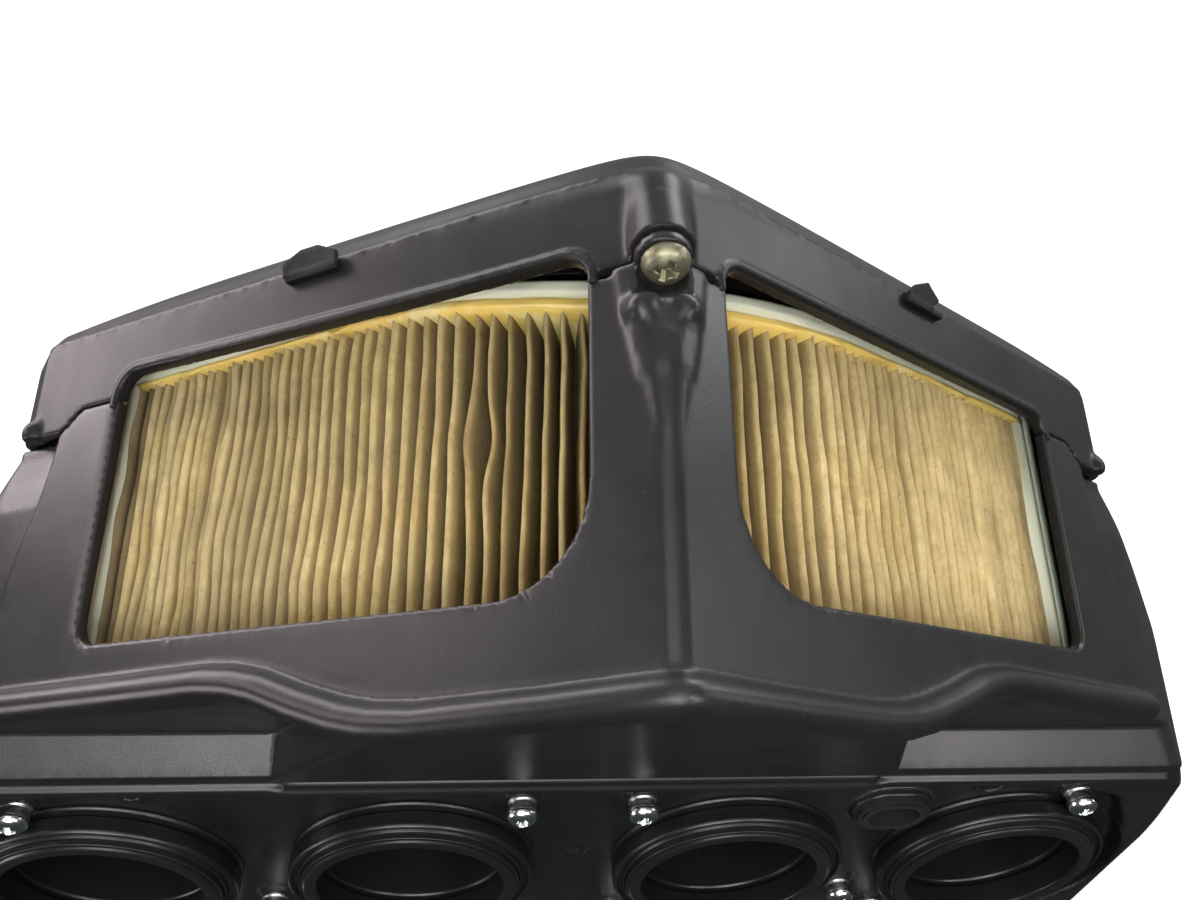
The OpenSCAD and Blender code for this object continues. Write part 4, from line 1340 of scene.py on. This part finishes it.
collars = [lathe(COLLAR, 40, (side * x, y)) for side in (1, -1) for x, y in PLATE_SCREWS]
attach(build("screw_spacers", merge(collars)), LOWER, "steel", "steel", "screw_collars")
for number, x in enumerate((-OUTLET_X[1], -OUTLET_X[0], *OUTLET_X), start=1):
    attach(build(f"outlet_seal_{number}", lathe(OUTLET_RING, 160, (x, 0), wobble=0.03)),
           LOWER, "rubber", "rubber", f"outlet_ring_{number}")
    attach(build(f"intake_funnel_{number}", lathe(FUNNEL, 160, (x, 0))),
           LOWER, "funnel", "funnel", f"funnel_{number}")

attach(build("rail_top", sweep(
    -ELEMENT_HALF, ELEMENT_HALF, depth=(0.0, 24.0), height=(108.8, 112.2), rounding=0.8,
    step=1.4, uneven=0.10, seed=31, lift=(rail_rise, rail_rise))),
    FILTER, "rail", "frame_pu", "filter_frame")
attach(build("rail_bottom", sweep(
    -ELEMENT_HALF, ELEMENT_HALF, depth=(0.0, 24.0), height=(44.0, 47.0), rounding=0.7,
    step=1.4, uneven=0.10, seed=32)),
    FILTER, "rail", "frame_pu", "filter_frame")
posts = [sweep(start, end, depth=(0.1, 23.9), height=(46.9, 109.9), rounding=0.3, step=0.5)
         for start, end in ((ELEMENT_HALF - 1.8, ELEMENT_HALF - 0.02),
                            (-ELEMENT_HALF + 0.02, -ELEMENT_HALF + 1.8))]
attach(build("end_posts", merge(posts)), FILTER, "rail", "frame_pu", "filter_frame")
glue_half = ELEMENT_HALF - 1.9
glue_top = sweep(-glue_half, glue_half, depth=(0.3, 22.8), height=(105.9, 108.78), rounding=0.9,
                 step=0.9, uneven=0.10, seed=33, drip=1.1, lift=(glue_rise, rail_rise))
glue_bottom = sweep(-glue_half, glue_half, depth=(0.35, 22.8), height=(47.05, 49.8),
                    rounding=0.9, step=0.9, uneven=0.10, seed=34)
attach(build("glue_beds", merge([glue_top, glue_bottom])),
       FILTER, "glue", "potting", "filter_potting")
attach(pleated_paper(), FILTER, "paper", "paper", "filter_media")
attach(build("foam_strip", sweep(
    -ELEMENT_HALF + 0.5, ELEMENT_HALF - 0.5, depth=(3.0, 21.0), height=(112.15, 113.75),
    rounding=0.4, step=1.6, uneven=0.08, seed=35, lift=(rail_rise, rail_rise))),
    FILTER, "foam", "foam", "filter_gasket")
attach(build("end_band_right", end_strip(1, seed=51, lean=0.4)),
       FILTER, "strip_r", "strip_r", "end_strip_right")
attach(build("end_band_left", end_strip(-1, seed=61, lean=1.3)),
       FILTER, "strip_l", "strip_l", "end_strip_left")
attach(build("split_cord", cord()), LOWER, "rubber", "rubber", "cover_seal")
attach(build("mount_grommet", lathe(GROMMET, 96, (0, LUG_Y), wobble=0.03, tilted=False)),
       LOWER, "rubber", "rubber", "rear_grommet")

# CAD nodes that stay: material, and whether the edges are softened
KEPT = {"front_insert": ("brass", False), "cover_inserts": ("brass", False),
        "filter_mesh": ("steel", False), "funnel_base_left": ("funnel", True),
        "funnel_base_right": ("funnel", True), "port_sleeve": ("funnel", True),
        "rear_sleeve": ("steel", True)}
for name, (material, soft) in KEPT.items():
    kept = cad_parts[name]
    paint(kept, material)
    if soft:
        bevel = kept.modifiers.new("soft", "BEVEL")
        bevel.width = 0.0004
        bevel.segments = 2
        bevel.limit_method = "ANGLE"
        bevel.angle_limit = math.radians(40)
for name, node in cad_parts.items():
    if name not in KEPT:
        paint(node, "case" if name in ("lower_case", "upper_case") else "rubber")


# ------------------------------------------------------------ stage, light, camera
def floor_material():
    """bright to the camera, and clear from below so the underside can be seen"""
    material, g, shader = new_material("floor_paper")
    cloud = g.noise(g.coords(), scale=3, detail=3, rough=0.5)
    g.feed(shader.inputs["Base Color"],
           g.mix(cloud, (0.10, 0.105, 0.105), (0.12, 0.125, 0.12)))
    shader.inputs["Roughness"].default_value = 0.9
    glow = g.node("ShaderNodeEmission")
    g.feed(glow.inputs["Color"], g.mix(cloud, (0.97, 0.97, 0.97), (1.0, 1.0, 1.0)))
    glow.inputs["Strength"].default_value = 1.02
    surface = shader.outputs[0]
    camera_ray = g.node("ShaderNodeLightPath").outputs["Is Camera Ray"]
    from_below = g.node("ShaderNodeNewGeometry").outputs["Backfacing"]
    clear = g.node("ShaderNodeBsdfTransparent")
    for choice, other in ((camera_ray, glow), (from_below, clear)):
        mixer = g.node("ShaderNodeMixShader")
        for i, value in enumerate((choice, surface, other.outputs[0])):
            g.feed(mixer.inputs[i], value)
        surface = mixer.outputs[0]
    output = next(node for node in g.tree.nodes if node.type == "OUTPUT_MATERIAL")
    g.feed(output.inputs[0], surface)
    return material


floor_look = floor_material()
FLOOR_CORNERS = [(-6000, -4000, -62), (6000, -4000, -62), (6000, 8000, -62), (-6000, 8000, -62)]
floor = build("floor", (FLOOR_CORNERS, [(0, 1, 2, 3)]), smooth=False)
floor.data.materials.append(floor_look)
floor.visible_diffuse = False
floor.visible_glossy = False
floor.visible_shadow = False


def studio_world():
    """light that brightens upwards; the camera sees plain white"""
    world = bpy.data.worlds.new("studio")
    bpy.context.scene.world = world
    world.use_nodes = True
    g = Graph(world.node_tree)
    output = g.node("ShaderNodeOutputWorld")
    direction = g.node("ShaderNodeTexCoord").outputs["Generated"]
    axes = g.node("ShaderNodeSeparateXYZ")
    g.feed(axes.inputs[0], direction)
    sky = g.ramp(g.plus(g.times(axes.outputs[2], 0.5), 0.5), [
        (0.0, (0.05, 0.065, 0.065)), (0.42, (0.10, 0.12, 0.12)), (0.56, (0.22, 0.22, 0.235)),
        (0.8, (0.62, 0.62, 0.63)), (1.0, (1.0, 1.0, 1.0))])
    mixer_inputs = [g.node("ShaderNodeLightPath").outputs["Is Camera Ray"]]
    for colour, strength in ((sky, 0.55), (WHITE, 1.35)):
        background = g.node("ShaderNodeBackground")
        g.feed(background.inputs["Color"], colour)
        background.inputs["Strength"].default_value = strength
        mixer_inputs.append(background.outputs[0])
    mixer = g.node("ShaderNodeMixShader")
    for i, value in enumerate(mixer_inputs):
        g.feed(mixer.inputs[i], value)
    g.feed(output.inputs[0], mixer.outputs[0])


studio_world()

# area lights, in metres and watts: name, place, aim, width, height, power, colour
LIGHTS = [
    ("key_top", (0.05, -0.75, 0.95), (0, -0.08, 0.08), 0.7, 0.7, 9.0, (1.0, 0.98, 0.96)),
    ("front_fill", (-0.15, -1.2, 0.06), (0, -0.1, 0.06), 0.8, 0.8, 4.0, (1.0, 0.96, 0.93)),
    ("low_front", (-0.10, -0.95, -0.46), (0, -0.10, 0.09), 0.45, 0.45, 6.0, (0.97, 1.0, 0.97)),
    ("low_left", (-0.42, -0.95, -0.32), (-0.06, -0.07, 0.05), 0.32, 0.32, 2.6,
     (0.92, 1.0, 0.97)),
    ("low_right", (0.50, -0.90, -0.32), (0.08, -0.07, 0.05), 0.30, 0.30, 4.0,
     (1.0, 0.94, 0.93)),
    ("left_pink", (-0.92, -0.02, 0.62), (-0.08, -0.1, 0.05), 0.3, 0.6, 5.0, (1.0, 0.87, 0.91)),
    ("left_side", (-0.95, -0.40, 0.24), (-0.08, -0.1, 0.07), 0.3, 0.3, 1.5, (1.0, 0.90, 0.92)),
    ("left_low", (-0.88, -0.12, -0.30), (-0.08, -0.1, 0.05), 0.3, 0.3, 2.2, (1.0, 0.88, 0.93)),
    ("right_cool", (0.85, -0.30, 0.62), (0.08, -0.1, 0.07), 0.3, 0.3, 1.7, (0.95, 0.97, 1.0)),
    ("right_side", (0.95, -0.45, 0.16), (0.08, -0.1, 0.07), 0.3, 0.3, 1.0, (1.0, 0.95, 0.93)),
    ("top_left", (-0.5, -0.15, 0.85), (0, -0.1, 0.1), 0.35, 0.35, 2.6, (1.0, 0.96, 0.97)),
    ("top_right", (0.45, -0.25, 0.85), (0, -0.1, 0.1), 0.35, 0.35, 2.8, (1.0, 0.98, 0.97)),
    ("rear_fill", (0.3, 1.25, 0.45), (0, 0, 0.05), 0.9, 0.9, 9.0, (1.0, 0.99, 0.98)),
]
for name, place, aim, width, height, power, colour in LIGHTS:
    light = bpy.data.lights.new(name, "AREA")
    light.shape = "RECTANGLE"
    light.size = width
    light.size_y = height
    light.energy = power
    light.color = colour
    lamp = bpy.data.objects.new(name, light)
    bpy.context.scene.collection.objects.link(lamp)
    lamp.location = Vector(place)
    lamp.rotation_euler = (Vector(aim) - Vector(place)).to_track_quat("-Z", "Y").to_euler()
    lamp.visible_glossy = name != "key_top"

CAMERA_PLACE = (-0.0252, -0.2727, 0.0262)
yaw, pitch, roll = math.radians(7.137), math.radians(20.0), math.radians(-0.683)
lens = bpy.data.cameras.new("camera")
lens.sensor_width = 36.0
lens.lens = 27.0
lens.clip_start = 0.005
lens.clip_end = 50
camera = bpy.data.objects.new("camera", lens)
bpy.context.scene.collection.objects.link(camera)
forward = Vector((math.sin(yaw) * math.cos(pitch), math.cos(yaw) * math.cos(pitch),
                  math.sin(pitch)))
level = Vector((math.cos(yaw), -math.sin(yaw), 0))
upward = level.cross(forward)
right = level * math.cos(roll) + upward * math.sin(roll)
up = -level * math.sin(roll) + upward * math.cos(roll)
camera.matrix_world = Matrix((*zip(right, up, -forward, CAMERA_PLACE), (0, 0, 0, 1)))
bpy.context.scene.camera = camera
bpy.context.scene.view_settings.view_transform = "Standard"
